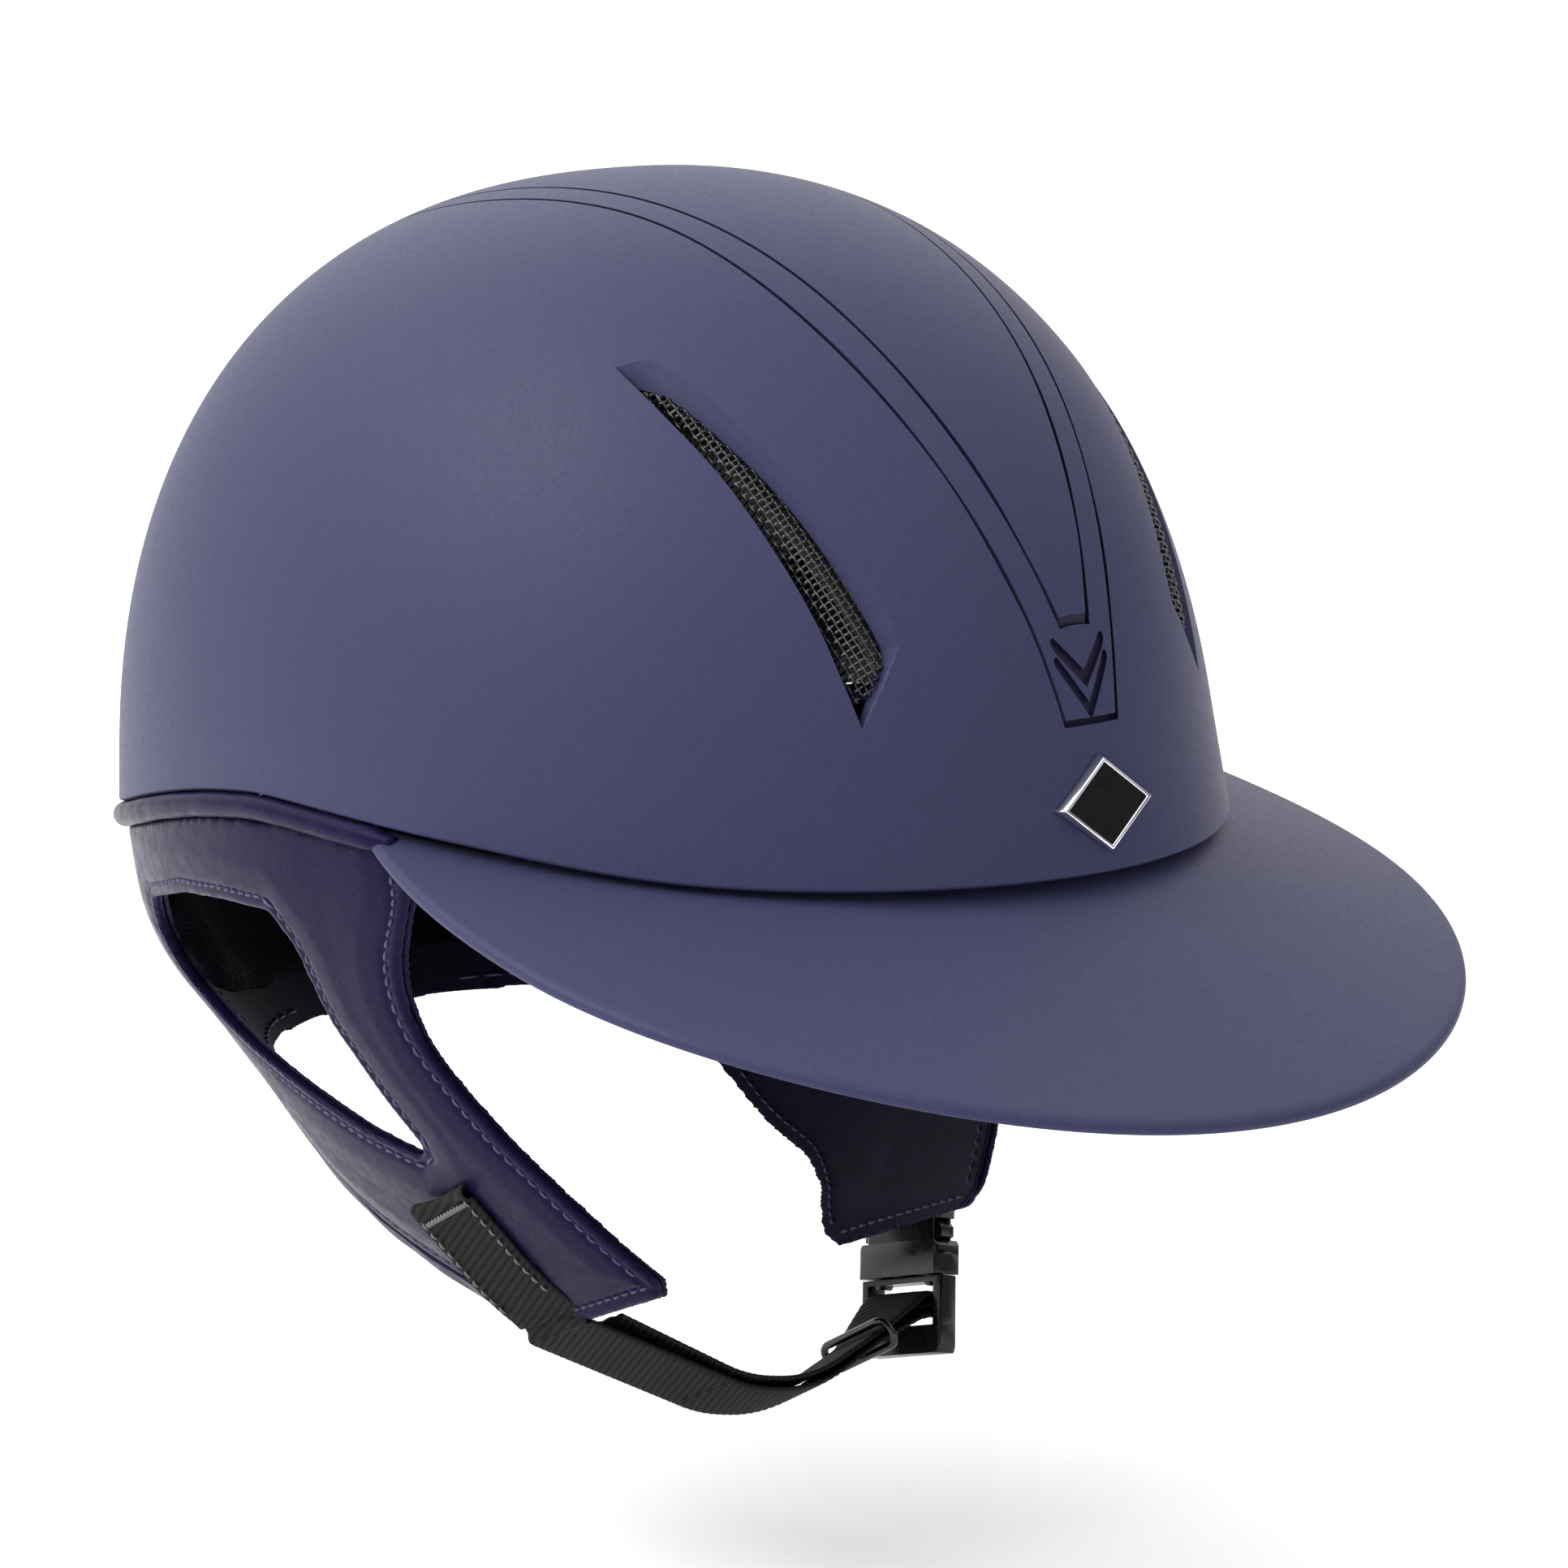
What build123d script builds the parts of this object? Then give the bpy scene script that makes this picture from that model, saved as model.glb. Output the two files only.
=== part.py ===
"""Equestrian riding helmet with a wide sun brim, modelled as separate pieces in millimetres.

Frame: origin on the shell's axis at the level of the head opening, +Z up, the wearer faces -Y,
+X is the wearer's left.
"""
import os
from functools import cache
from math import cos, pi, radians, sin

from build123d import *

# Shell: a dome of superelliptic profile, longer behind than in front, leaning back a little.
SHELL_HALF_WIDTH = 103.1
SHELL_FRONT = 132.4
SHELL_REAR = 135.5
SHELL_HEIGHT = 125.5
DOME_EXPONENT = 2.24
RIM_FLARE = 0.047
SHELL_LEAN = 6.7
SHELL_WALL = 3.0
RIM_SIDE = [(170, -33), (141, -29.5), (96, -20.8), (50, -9.3), (20, -3.8), (-3, -2.6), (-52, -5.7),
            (-100, -10.4), (-144, -11.5), (-170, -11.5)]

# Liner layers, as insets from the outside of the shell.
FOAM_OUTSIDE = 5.5
FOAM_INSIDE = 25.0
PAD_OUTSIDE = 25.8
PAD_INSIDE = 31.0

# Brim: a cone-like visor, 3 mm thick, whose outline is two half ellipses.
BRIM_CENTRE_Y = -92.0
BRIM_HALF_WIDTH = 118.5
BRIM_FRONT_REACH = 108.0
BRIM_REAR_REACH = 140.0
BRIM_THICKNESS = 3.0
BRIM_SIDE_SLOPE = 0.36
BRIM_FRONT_SLOPE = 0.27
BRIM_ROOT_SIDE = -4.5
BRIM_ROOT_DROP = 8.5
BRIM_REAR_END = -27.0
FLANGE_HEIGHT = 12.0

# Centre trim and badge.
TRIM_DEPTH = 1.3
TRIM_FOOT = 20.0
TRIM_GAP = 0.25
BADGE_WIDTH = 26.8
BADGE_HEIGHT = 20.2
BADGE_RIM = (3.8, 2.9)
BADGE_CENTRE = (-0.8, -141.2, 2.7)
BADGE_LEAN = 9.0

# Mesh vent in the front quarter of the shell: centre, outward normal and long direction.
VENT_CENTRE = (-56.3, -102.0, 53.5)
VENT_NORMAL = (-0.618, -0.679, 0.395)
VENT_ALONG = (0.165, -0.604, -0.780)

# Harness: padded leather yoke that follows a tapering bowl below the rim, tipped forward.
HARNESS_TIP = 15.5
BOWL = [(16, 105.5, 143.5), (0, 106, 143.5), (-12, 105.5, 144), (-24, 103.5, 143), (-36, 99.5, 138),
        (-48, 94.5, 129), (-60, 89, 122), (-72, 83.5, 118), (-84, 77.5, 114), (-96, 70, 109),
        (-108, 62, 100), (-116, 56, 90), (-123, 51, 78), (-132, 47, 62)]
LEATHER = 3.0
LINING = 1.2
PIPING_HEIGHT = 5.5

# Chin webbing and side-release buckle.
WEB_WIDTH = 20.0
WEB_THICKNESS = 1.5
WEB_Y = 12.0
BUCKLE_X = 56.0
BUCKLE_Z = -136.5
BUCKLE_LEAN = 15.0
BUCKLE_WIDTH = 28.0
BUCKLE_DEPTH = 7.6
TAB_BAR_STATION = 19.0
FRAME_LENGTH = 18.0
FRAME_DEPTH = 5.4
BAR_STATION = -6.6
BAR_RADIUS = 1.5
PRONG_PIVOT = (8.6, -1.2)
KEEPER_X = 37.0
KEEPER_Z = -148.6
KEEPER_WIRE = 0.95

WIDE = 400.0
NODES = {}


@cache
def dome(inset):
    """Closed dome, its surface `inset` inside the outside of the shell."""
    half_width = SHELL_HALF_WIDTH - inset
    height = SHELL_HEIGHT - inset
    profile = []
    for rise in (-0.42, -0.21):
        profile.append((half_width * (1 + RIM_FLARE * (1 - rise) ** 2), height * rise))
    steps = 12
    for step in range(steps + 1):
        angle = pi / 2 * step / steps
        rise = sin(angle) ** (2 / DOME_EXPONENT)
        spread = max(cos(angle), 0) ** (2 / DOME_EXPONENT)
        profile.append((half_width * spread * (1 + RIM_FLARE * (1 - rise) ** 2), height * rise))
    profile[-1] = (0, height)
    low = profile[0][1]
    curve = Plane.XZ * Spline(*profile)
    top, bottom, start = Vector(0, 0, height), Vector(0, 0, low), Vector(profile[0][0], 0, low)
    section = make_face(curve.edges() + [Edge.make_line(top, bottom), Edge.make_line(bottom, start)])
    rear = revolve(section, axis=Axis.Z, revolution_arc=180)
    front = mirror(rear, about=Plane.XZ)
    rear = scale(rear, by=(1, (SHELL_REAR - inset) / half_width, 1))
    front = scale(front, by=(1, (SHELL_FRONT - inset) / half_width, 1))
    return Rot(X=-SHELL_LEAN) * (rear + front)


def side_block(outline, start=-WIDE / 2, end=WIDE / 2):
    """Block along X between two stations, from a closed side-view outline face in Y and Z."""
    return Pos(start, 0, 0) * extrude(outline, end - start, dir=(1, 0, 0))


@cache
def rim_block(offset, above):
    """Everything above, or below, the side-view line of the shell's rim moved up by `offset`."""
    points = [(0, y, z + offset) for y, z in RIM_SIDE]
    far = 190 if above else -190
    rim = Edge.make_spline([Vector(*p) for p in points])
    ends = [points[-1], (0, points[-1][1], far), (0, points[0][1], far), points[0]]
    lines = [Edge.make_line(a, b) for a, b in zip(ends, ends[1:])]
    return side_block(make_face([rim] + lines))


def closed_face(plane, *edges):
    """Planar face from a run of edges drawn in the plane's own coordinates."""
    return make_face([plane.from_local_coords(edge) for edge in edges])


def rounded_polygon(plane, points, radius):
    """Planar polygon with every corner rounded."""
    sketch = make_face(Polyline(*points, close=True))
    sketch = fillet(sketch.vertices(), radius)
    return plane * sketch


def keep_largest(shape):
    """The largest solid of a shape."""
    return max(shape.solids(), key=lambda solid: solid.volume)


OUTSIDE = dome(0)
INSIDE = dome(SHELL_WALL)
FOAM = dome(FOAM_OUTSIDE)
ABOVE_RIM = rim_block(0, True)
VENT_PLANE = Plane(origin=VENT_CENTRE, x_dir=VENT_ALONG, z_dir=VENT_NORMAL)


def vent_outline(grow):
    """Face of the long vent window, `grow` larger all round."""
    tail = (-52 - grow, -3.5)
    upper = [(-37, 3.6 + grow), (-16, 8.2 + grow), (2, 9.9 + grow), (25.2 + grow, 9.5 + grow)]
    lower = [(35.6 + grow, -2.6 - grow), (20, -0.1 - grow), (-2, 1.3 - grow), (-22, 0.7 - grow)]
    return make_face([Spline(tail, *upper), Line(upper[-1], lower[0]), Spline(*lower, tail)])


def vent_prism(grow, depth=60):
    """Prism through the right-hand vent window."""
    return VENT_PLANE * Pos(0, 0, 20 - depth) * extrude(vent_outline(grow), depth)


def both_sides(solid):
    """A right-hand solid and its left-hand mirror image."""
    return [solid, mirror(solid, about=Plane.YZ)]


def trim_outline(gap):
    """Top-view V of the centre trim, `gap` wider on both sides of each leg and at the foot."""
    foot, notch = -138.2 - gap, -131.2 + gap
    outer = [(6.4, foot), (11.1, -131.2), (17, -121), (25.2, -99), (30.2, -73), (32.8, -35), (35, 15), (31.5, 52),
             (20, 82 + gap)]
    inner = [(16, 80 + gap), (25.5, 50), (28, 15), (26.5, -35), (23, -73), (18.2, -99), (10.3, -121), (4.2, notch)]
    outer = [(x + gap, y) for x, y in outer]
    inner = [(x - gap, y) for x, y in inner]
    half = make_face([Spline(*outer), Line(outer[-1], inner[0]), Spline(*inner), Line(inner[-1], (0, notch)),
                      Line((0, notch), (0, foot)), Line((0, foot), outer[0])])
    return half + mirror(half, about=Plane.YZ)


def trim_prism(gap):
    """Upright prism through the trim's outline."""
    return Pos(0, 0, TRIM_FOOT - gap) * extrude(trim_outline(gap), 130)


def chevron_prisms():
    """Two V slots in the foot of the trim, cut straight through from the front."""
    plane = Plane(origin=(0, -160, 0), x_dir=(1, 0, 0), z_dir=(0, -1, 0))
    slots = []
    for top, height in ((37.4, 7.5), (33.6, 10.3)):
        right = [(6.9, top - 0.3), (7.7, top - 0.8), (7.8, top - 1.9), (7.0, top - 3.4)]
        left = [(-x, z) for x, z in reversed(right)]
        arm = [(0, top - height)] + right + [(0, top - height - 3.6)] + left
        slots.append(plane * Pos(0, 0, -45) * extrude(make_face(Polyline(*arm, close=True)), 45))
    return slots


def radial_pin(angle, z, near, far, radius):
    """Level pin on a ray from the shell's axis; `angle` is measured from the front towards the left."""
    ray = Location((0, 0, z), (0, 0, angle)) * Location((0, 0, 0), (90, 0, 0))
    return ray * Pos(0, 0, near) * Cylinder(radius, far - near, align=(Align.CENTER, Align.CENTER, Align.MIN))


def shell_radius(angle, inset):
    """Plan radius of the dome's base ellipse in a direction, `inset` inside the outside of the shell."""
    front = -cos(radians(angle))
    length = SHELL_FRONT if front < 0 else SHELL_REAR
    x = sin(radians(angle)) / (SHELL_HALF_WIDTH * (1 + RIM_FLARE))
    y = front / (length * (1 + RIM_FLARE))
    return 1 / (x * x + y * y) ** 0.5 - inset


def badge_plane():
    return Plane(origin=BADGE_CENTRE, x_dir=(1, 0, 0),
                 z_dir=(0, -cos(radians(BADGE_LEAN)), sin(radians(BADGE_LEAN))))


def rhombus(width, height):
    return make_face(Polyline((width / 2, 0), (0, height / 2), (-width / 2, 0), (0, -height / 2), close=True))


def make_badge():
    """Plain lozenge badge: a bevelled metal bezel round an enamel plate."""
    inner_width, inner_height = BADGE_WIDTH - BADGE_RIM[0], BADGE_HEIGHT - BADGE_RIM[1]
    bezel = extrude(rhombus(BADGE_WIDTH, BADGE_HEIGHT), 1.5, taper=14)
    bezel = Pos(0, 0, -2.4) * extrude(rhombus(BADGE_WIDTH, BADGE_HEIGHT), 2.4) + bezel
    pocket = extrude(rhombus(inner_width, inner_height), 3)
    plate = Pos(0, 0, 0.3) * extrude(rhombus(inner_width, inner_height), 0.8)
    bezel = bezel - Pos(0, 0, 0.3) * pocket
    plane = badge_plane()
    NODES["badge_bezel"] = keep_largest(plane * bezel - OUTSIDE)
    NODES["badge_plate"] = plane * plate


def make_shell():
    """Outer shell with its vent windows and the shallow seat of the centre trim."""
    shell = (OUTSIDE - INSIDE) & ABOVE_RIM
    seat = trim_prism(TRIM_GAP) - dome(TRIM_DEPTH)
    return keep_largest(shell - (both_sides(vent_prism(0)) + [seat]))


def make_trim():
    """V-shaped trim set into the shell, with the plate seen through its chevron slots."""
    trim = (OUTSIDE - dome(TRIM_DEPTH)) & trim_prism(-TRIM_GAP)
    backing = (dome(TRIM_DEPTH - 0.5) - dome(TRIM_DEPTH)) & trim_prism(-0.8)
    backing = backing & Pos(0, -125, TRIM_FOOT + 10.7) * Box(20, 40, 19)
    backing = keep_largest(backing)
    trim = trim - backing
    NODES["centre_trim"] = keep_largest(trim - chevron_prisms())
    NODES["trim_backing"] = backing


def brim_ray(angle, reach):
    """Point on the brim's top, on a straight ray that falls outwards from just under the rim."""
    side = sin(radians(angle))
    facing = cos(radians(angle))
    root = 1 / ((side / 108) ** 2 + (facing / 138.6) ** 2) ** 0.5
    forward = max(facing, 0)
    slope = BRIM_SIDE_SLOPE + BRIM_FRONT_SLOPE * forward ** 6
    height = BRIM_ROOT_SIDE - BRIM_ROOT_DROP * forward - slope * (reach - 1) * root
    return Vector(reach * root * side, -reach * root * facing, height)


def make_brim():
    """Brim plate joined to an upright flange inside the front of the shell."""
    angles = range(-102, 103, 6)
    inner = Edge.make_spline([brim_ray(angle, 0.8) for angle in angles])
    outer = Edge.make_spline([brim_ray(angle, 1.7) for angle in angles])
    plate = extrude(Face.make_surface_from_curves(inner, outer), BRIM_THICKNESS, dir=(0, 0, -1))
    front = Pos(0, BRIM_CENTRE_Y) * Ellipse(BRIM_HALF_WIDTH, BRIM_FRONT_REACH)
    front = front & Pos(0, BRIM_CENTRE_Y - WIDE / 2) * Rectangle(WIDE, WIDE)
    rear = Pos(0, BRIM_CENTRE_Y) * Ellipse(BRIM_HALF_WIDTH, BRIM_REAR_REACH)
    depth = BRIM_REAR_END - BRIM_CENTRE_Y
    rear = rear & Pos(0, BRIM_CENTRE_Y + depth / 2) * Rectangle(WIDE, depth)
    plan = Pos(0, 0, -100) * (extrude(front, 140) + extrude(rear, 140))
    plate = plate & plan
    plate = plate - (dome(-1) & rim_block(-1.2, True)) - dome(FOAM_OUTSIDE - 0.3)
    zone = Pos(0, BRIM_REAR_END - WIDE / 2, 0) * Box(WIDE, WIDE, WIDE)
    flange = (dome(SHELL_WALL + 0.1) - dome(FOAM_OUTSIDE - 0.3)) & zone
    flange = flange & rim_block(FLANGE_HEIGHT, False) & rim_block(-3.6, True)
    return keep_largest(plate + flange)


def make_meshes():
    """Woven mesh panels behind the vent windows, held between shell and foam."""
    layer = dome(SHELL_WALL + 0.1) - dome(SHELL_WALL + 1.1)
    right = keep_largest(layer & vent_prism(2.5))
    return both_sides(right)


def make_foam():
    """Impact liner, relieved for the mesh and open behind the vents."""
    liner = (FOAM - dome(FOAM_INSIDE)) & rim_block(1.5, True)
    return keep_largest(liner - both_sides(vent_prism(-0.5, 80)))


def make_comfort_liner():
    """Padded band round the head, pad on the crown and the dots that hold them."""
    pad_skin = dome(PAD_OUTSIDE) - dome(PAD_INSIDE)
    band = pad_skin & rim_block(4, True) & rim_block(34, False)
    crown = pad_skin & Pos(0, 14, 60) * Cylinder(44, 140)
    crown = crown - Pos(0, 14, 60) * Cylinder(14, 140)
    NODES["headband_pad"] = keep_largest(band)
    NODES["crown_pad"] = keep_largest(crown)
    dot_skin = dome(FOAM_INSIDE + 0.05) - dome(PAD_OUTSIDE - 0.05)
    dots = []
    for angle in (0, 58, -58, 122, -122, 180):
        dots.append(keep_largest(dot_skin & radial_pin(angle, 14, 40, 150, 9)))
    for x in (-28, 28):
        dots.append(keep_largest(dot_skin & Pos(x, 14, 90) * Cylinder(9, 120)))
    NODES["hook_loop_dots"] = Compound(dots)


def make_piping():
    """Leather roll that closes the rear edge of the rim."""
    roll = dome(-1.4) - dome(4.2)
    roll = roll & rim_block(-0.3, False) & rim_block(-0.3 - PIPING_HEIGHT, True)
    roll = roll & Pos(0, BRIM_REAR_END + 0.5 + WIDE / 2, 0) * Box(WIDE, WIDE, WIDE)
    return keep_largest(roll)


def bowl(inset):
    """Closed tapering bowl that the harness follows, `inset` inside the leather's outside."""
    sections = [Pos(0, 0, z) * Ellipse(half - inset, rear - inset) for z, half, rear in BOWL]
    return loft(sections)


def harness_outline():
    """Side view of one half of the leather yoke, in the harness frame."""
    plane = Plane.YZ
    front = Spline((-31, -6), (-27, -28), (-14, -43), (-8.5, -58), (-13, -78), (-18.6, -96), (-25, -119.5))
    end = Line((-22, -123.5), (20, -129))
    corner = Line((-25, -119.5), (-22, -123.5))
    rear = Spline((25.5, -126), (38, -114), (60, -95.5), (72, -80), (85, -65), (104, -56), (126, -51.5),
                  (160, -50))
    return closed_face(plane, front, corner, end, Line((20, -129), (25.5, -126)), rear,
                       Line((160, -50), (160, 20)), Line((160, 20), (-31, 20)), Line((-31, 20), (-31, -6)))


def lining_outline():
    """Side view of the lining, whose rear edge rolls out past the leather behind the jaw."""
    roll = Spline((1, -110), (19, -129.6), (27, -130.6), (40, -122.5), (54, -110), (68, -96.5), (81, -77), (90, -62),
                  (96, -52))
    return harness_outline() + closed_face(Plane.YZ, roll, Line((96, -52), (1, -110)))


def window_outline():
    """Side view of the ear window in the yoke, in the harness frame."""
    points = [(92, -24), (84, -17.5), (56, -18), (38, -21), (19, -25.5), (15.5, -34), (18, -52), (15, -70),
              (11.5, -82), (15, -84), (30, -76.5), (48, -66), (66, -56.5), (84, -47.5), (93, -38)]
    return rounded_polygon(Plane.YZ, points, 1.8)


def make_harness():
    """Left and right leather yokes with their suede linings, and the padded nape piece."""
    place = Rot(X=-HARNESS_TIP)
    window = side_block(window_outline(), -WIDE / 2, -0.25)
    hem = 1.5
    leather = (0, LEATHER, -0.3 - PIPING_HEIGHT - 0.1)
    inner = (LEATHER, LEATHER + LINING, -0.3 - PIPING_HEIGHT - hem)
    layers = {"harness_right": (leather, harness_outline()), "lining_left": (inner, harness_outline()),
              "lining_right": (inner, lining_outline())}
    brim = NODES["brim"]
    for name, ((near, far, top), outline) in layers.items():
        skin = place * (((bowl(near) - bowl(far)) & side_block(outline, -WIDE / 2, -0.25)) - window)
        NODES[name] = keep_largest((skin & rim_block(top, False)) - brim)
    NODES["harness_left"] = mirror(NODES["harness_right"], about=Plane.YZ)
    NODES["lining_left"] = mirror(NODES["lining_left"], about=Plane.YZ)
    pad_side = rounded_polygon(Plane.YZ, [(88, -44), (150, -44), (150, -6), (88, -6)], 5)
    pad = (bowl(LEATHER + LINING + 0.1) - bowl(LEATHER + LINING + 6)) & side_block(pad_side)
    NODES["nape_pad"] = keep_largest(place * pad)


def make_fastenings():
    """Webbing tabs that hang the yoke inside the shell, their rivets and the brim's screws."""
    skin = dome(SHELL_WALL + 0.15) - dome(SHELL_WALL + 1.45)
    reach_in = dome(SHELL_WALL + 0.05)
    tabs, rivets, screws = [], [], []
    for angle in (82, 142, -142, -82):
        reach = shell_radius(angle, SHELL_WALL)
        rivet = radial_pin(angle, 12, reach - 9, reach + 2, 2.5) & reach_in
        tab = keep_largest(skin & radial_pin(angle, 12, 60, 160, 9))
        tabs.append(keep_largest(tab - rivet))
        rivets.append(keep_largest(rivet))
    for angle in (38, 72, -72, -38):
        reach = shell_radius(angle, SHELL_WALL)
        screw = radial_pin(angle, 1.5, reach - 8, reach + 2, 1.9) & reach_in
        screws.append(keep_largest(screw))
    for name in ("brim", "impact_liner"):
        NODES[name] = keep_largest(NODES[name] - (rivets + screws))
    NODES["yoke_anchor_tabs"] = Compound(tabs)
    NODES["yoke_rivets"] = Compound(rivets)
    NODES["brim_screws"] = Compound(screws)


def web_strip(near, far, outline):
    """Slice of the space outside the harness bowl under a side-view outline, on the right."""
    skin = bowl(-far) - bowl(-near)
    return keep_largest(skin & side_block(outline, -WIDE / 2, 0))


def buckle_place():
    return Pos(BUCKLE_X, WEB_Y, BUCKLE_Z) * Rot(Y=BUCKLE_LEAN)


def buckle_point(x, z):
    """X and Z in the harness frame of a point of the buckle's own section."""
    lean = radians(BUCKLE_LEAN)
    return BUCKLE_X + x * cos(lean) + z * sin(lean), BUCKLE_Z - x * sin(lean) + z * cos(lean)


def flat_web(points, radii):
    """Webbing bent along a route in X and Z, its width along Y."""
    route = FilletPolyline(*points, radius=radii)
    section = Plane.XZ * trace(route, WEB_THICKNESS)
    web = Pos(0, WEB_Y + WEB_WIDTH / 2, 0) * extrude(section, WEB_WIDTH, dir=(0, -1, 0))
    print("webbing length", round(route.length, 1), "volume over length x width x thickness",
          round(web.volume / (route.length * WEB_WIDTH * WEB_THICKNESS), 4))
    return web


def make_webbing():
    """Chin webbing: a sewn run on the right flap, a free loop to the buckle, and the left tab."""
    place = Rot(X=-HARNESS_TIP)
    run = make_face(Polyline((9, -94), (29, -96.5), (22.5, -126.2), (1.5, -126.2), close=True))
    NODES["webbing_sewn_run"] = place * web_strip(0.1, 0.1 + WEB_THICKNESS, Plane.YZ * run)
    wrap = BAR_RADIUS + 0.15 + WEB_THICKNESS / 2
    lower, upper = BAR_STATION - wrap, BAR_STATION + wrap
    loop = [(-51.4, -127.2), (-6, -152.6), (13, -157.2), (KEEPER_X, KEEPER_Z - 0.9), buckle_point(-3.4, lower),
            buckle_point(wrap, lower), buckle_point(wrap, upper), buckle_point(-3.4, upper),
            (KEEPER_X, KEEPER_Z + 0.9), (13, -154.4), (-6, -150.2), (-39.8, -129.1)]
    radii = [40, 40, 20, 4, wrap - 0.1, wrap - 0.1, 4, 20, 40, 40]
    NODES["webbing_loop"] = place * flat_web(loop, radii)
    top_x, top_z = buckle_point(0, TAB_BAR_STATION)
    fold = 1.4 + 0.15 + WEB_THICKNESS / 2
    tab = [(71.6, -98), (64.3, -108.6), (top_x - fold - 0.4, top_z + 1), (top_x - fold + 0.2, top_z - fold),
           (top_x + fold, top_z - fold), (top_x + fold, top_z + 2), (66.6, -109), (73.4, -99.2)]
    NODES["webbing_tab"] = place * flat_web(tab, [9, 2, 2.2, 2.2, 4, 9])


def block(width, depth, low, high, radius=0.8):
    """Rounded block in the buckle's frame, centred across and reaching from `low` to `high`."""
    solid = Pos(0, 0, (low + high) / 2) * Box(depth, width, high - low)
    return fillet(solid.edges().filter_by(Axis.Z), radius)


def front_view(*outline):
    """Prism along the buckle's thin direction over a front-view outline given for one side."""
    points = list(outline) + [(-y, z) for y, z in reversed(outline)]
    return side_block(Plane.YZ * make_face(Polyline(*points, close=True)), -20, 20)


def make_socket():
    """Female half of the buckle: a sleeve, a narrower top with open sides, and a bar for the tab."""
    half = BUCKLE_WIDTH / 2
    sleeve = block(BUCKLE_WIDTH, BUCKLE_DEPTH, 0.2, 8.2, 1.6)
    sleeve = sleeve & front_view((half, 0.2), (half - 0.4, 6.8), (half - 1.8, 8.2))
    waist = block(22.8, BUCKLE_DEPTH - 0.8, 7.0, 15.0, 1.2)
    crown = block(BUCKLE_WIDTH - 2, BUCKLE_DEPTH - 1.6, 13.2, 15.4, 1.2)
    legs = [Pos(0, side * 12.1, 16.8) * Box(4.2, 2.4, 4.4) for side in (-1, 1)]
    bar = Pos(0, 0, TAB_BAR_STATION) * Rot(X=90) * Cylinder(1.4, 26.6)
    cavity = Pos(0, 0, 6.4) * Box(4.6, 22.6, 13.4)
    sides = Pos(0, 0, 10.6) * Box(4.6, BUCKLE_WIDTH + 2, 5.2)
    return keep_largest(sleeve + waist + crown + legs[0] + legs[1] + bar - cavity - sides)


def make_plug():
    """Male half of the buckle: a deep-footed frame, a bar for the loop and a centre guide."""
    frame = block(BUCKLE_WIDTH, FRAME_DEPTH, -FRAME_LENGTH, -0.2, 1.2)
    half = BUCKLE_WIDTH / 2
    frame = frame & front_view((half, -0.2), (half - 0.3, -16), (half - 1.3, -FRAME_LENGTH))
    frame = frame - Pos(0, 0, -6.5) * Box(12, 22.6, 10.0)
    bar = Pos(0, 0, BAR_STATION) * Rot(X=90) * Cylinder(BAR_RADIUS, 24)
    guide = Pos(0, 0, 4.2) * Box(3.4, 2.8, 9.2)
    frame = frame + bar + guide
    for side in (-1, 1):
        y, z = PRONG_PIVOT
        knuckle = Pos(0, side * y, z) * Rot(Y=90) * Cylinder(1.25, 4)
        slot = Pos(0, side * y, 0.4) * Box(4, 2.5, 3.3)
        frame = frame - knuckle - slot
    return keep_largest(frame)


def make_prong(side):
    """Spring prong with the shoulder that fills one open side of the socket."""
    y, z = PRONG_PIVOT
    outline = Polyline((y - 1.15, z), (y + 1.15, z), (y + 1.15, 7.9), (13.2, 8.9), (13.2, 11.2), (11.6, 12.8),
                       (9.4, 12.8), (y - 1.15, 9.8), close=True)
    prong = Pos(-1.9, 0, 0) * extrude(Plane.YZ * make_face(outline), 3.8)
    prong = prong + Pos(0, y, z) * Rot(Y=90) * Cylinder(1.15, 3.8)
    if side < 0:
        prong = mirror(prong, about=Plane.XZ)
    return keep_largest(prong)


def make_keeper():
    """Wire loop round both layers of the webbing."""
    half_width, half_height, corner = WEB_WIDTH / 2 + 2, 3.9, 3.2
    path = Plane.YZ * RectangleRounded(2 * half_width, 2 * half_height, corner)
    wire = path.wires()[0]
    start = Plane(origin=wire @ 0, z_dir=wire % 0)
    ring = sweep(start * Circle(KEEPER_WIRE), path=wire)
    return Pos(KEEPER_X, WEB_Y, KEEPER_Z) * keep_largest(ring)


def make_all():
    """Build every node."""
    NODES["outer_shell"] = make_shell()
    make_trim()
    make_badge()
    NODES["brim"] = make_brim()
    NODES["vent_mesh_right"], NODES["vent_mesh_left"] = make_meshes()
    NODES["impact_liner"] = make_foam()
    make_comfort_liner()
    NODES["rear_piping"] = make_piping()
    make_harness()
    make_fastenings()
    make_webbing()
    place = Rot(X=-HARNESS_TIP)
    NODES["strap_keeper"] = place * make_keeper()
    place = place * buckle_place()
    NODES["buckle_socket"] = place * make_socket()
    NODES["buckle_plug"] = place * make_plug()
    NODES["prong_front"] = place * make_prong(-1)
    NODES["prong_rear"] = place * make_prong(1)


make_all()
os.makedirs("parts", exist_ok=True)
for name, shape in NODES.items():
    export_step(shape, f"parts/{name}.step")
    print(name, len(shape.solids()), round(shape.volume), shape.is_valid)
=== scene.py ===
"""Looks of the wide-brim riding helmet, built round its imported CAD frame, in metres."""
from math import cos, pi, radians, sin, tan

import bmesh
import bpy
import numpy as np
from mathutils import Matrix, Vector
from mathutils.bvhtree import BVHTree


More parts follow.
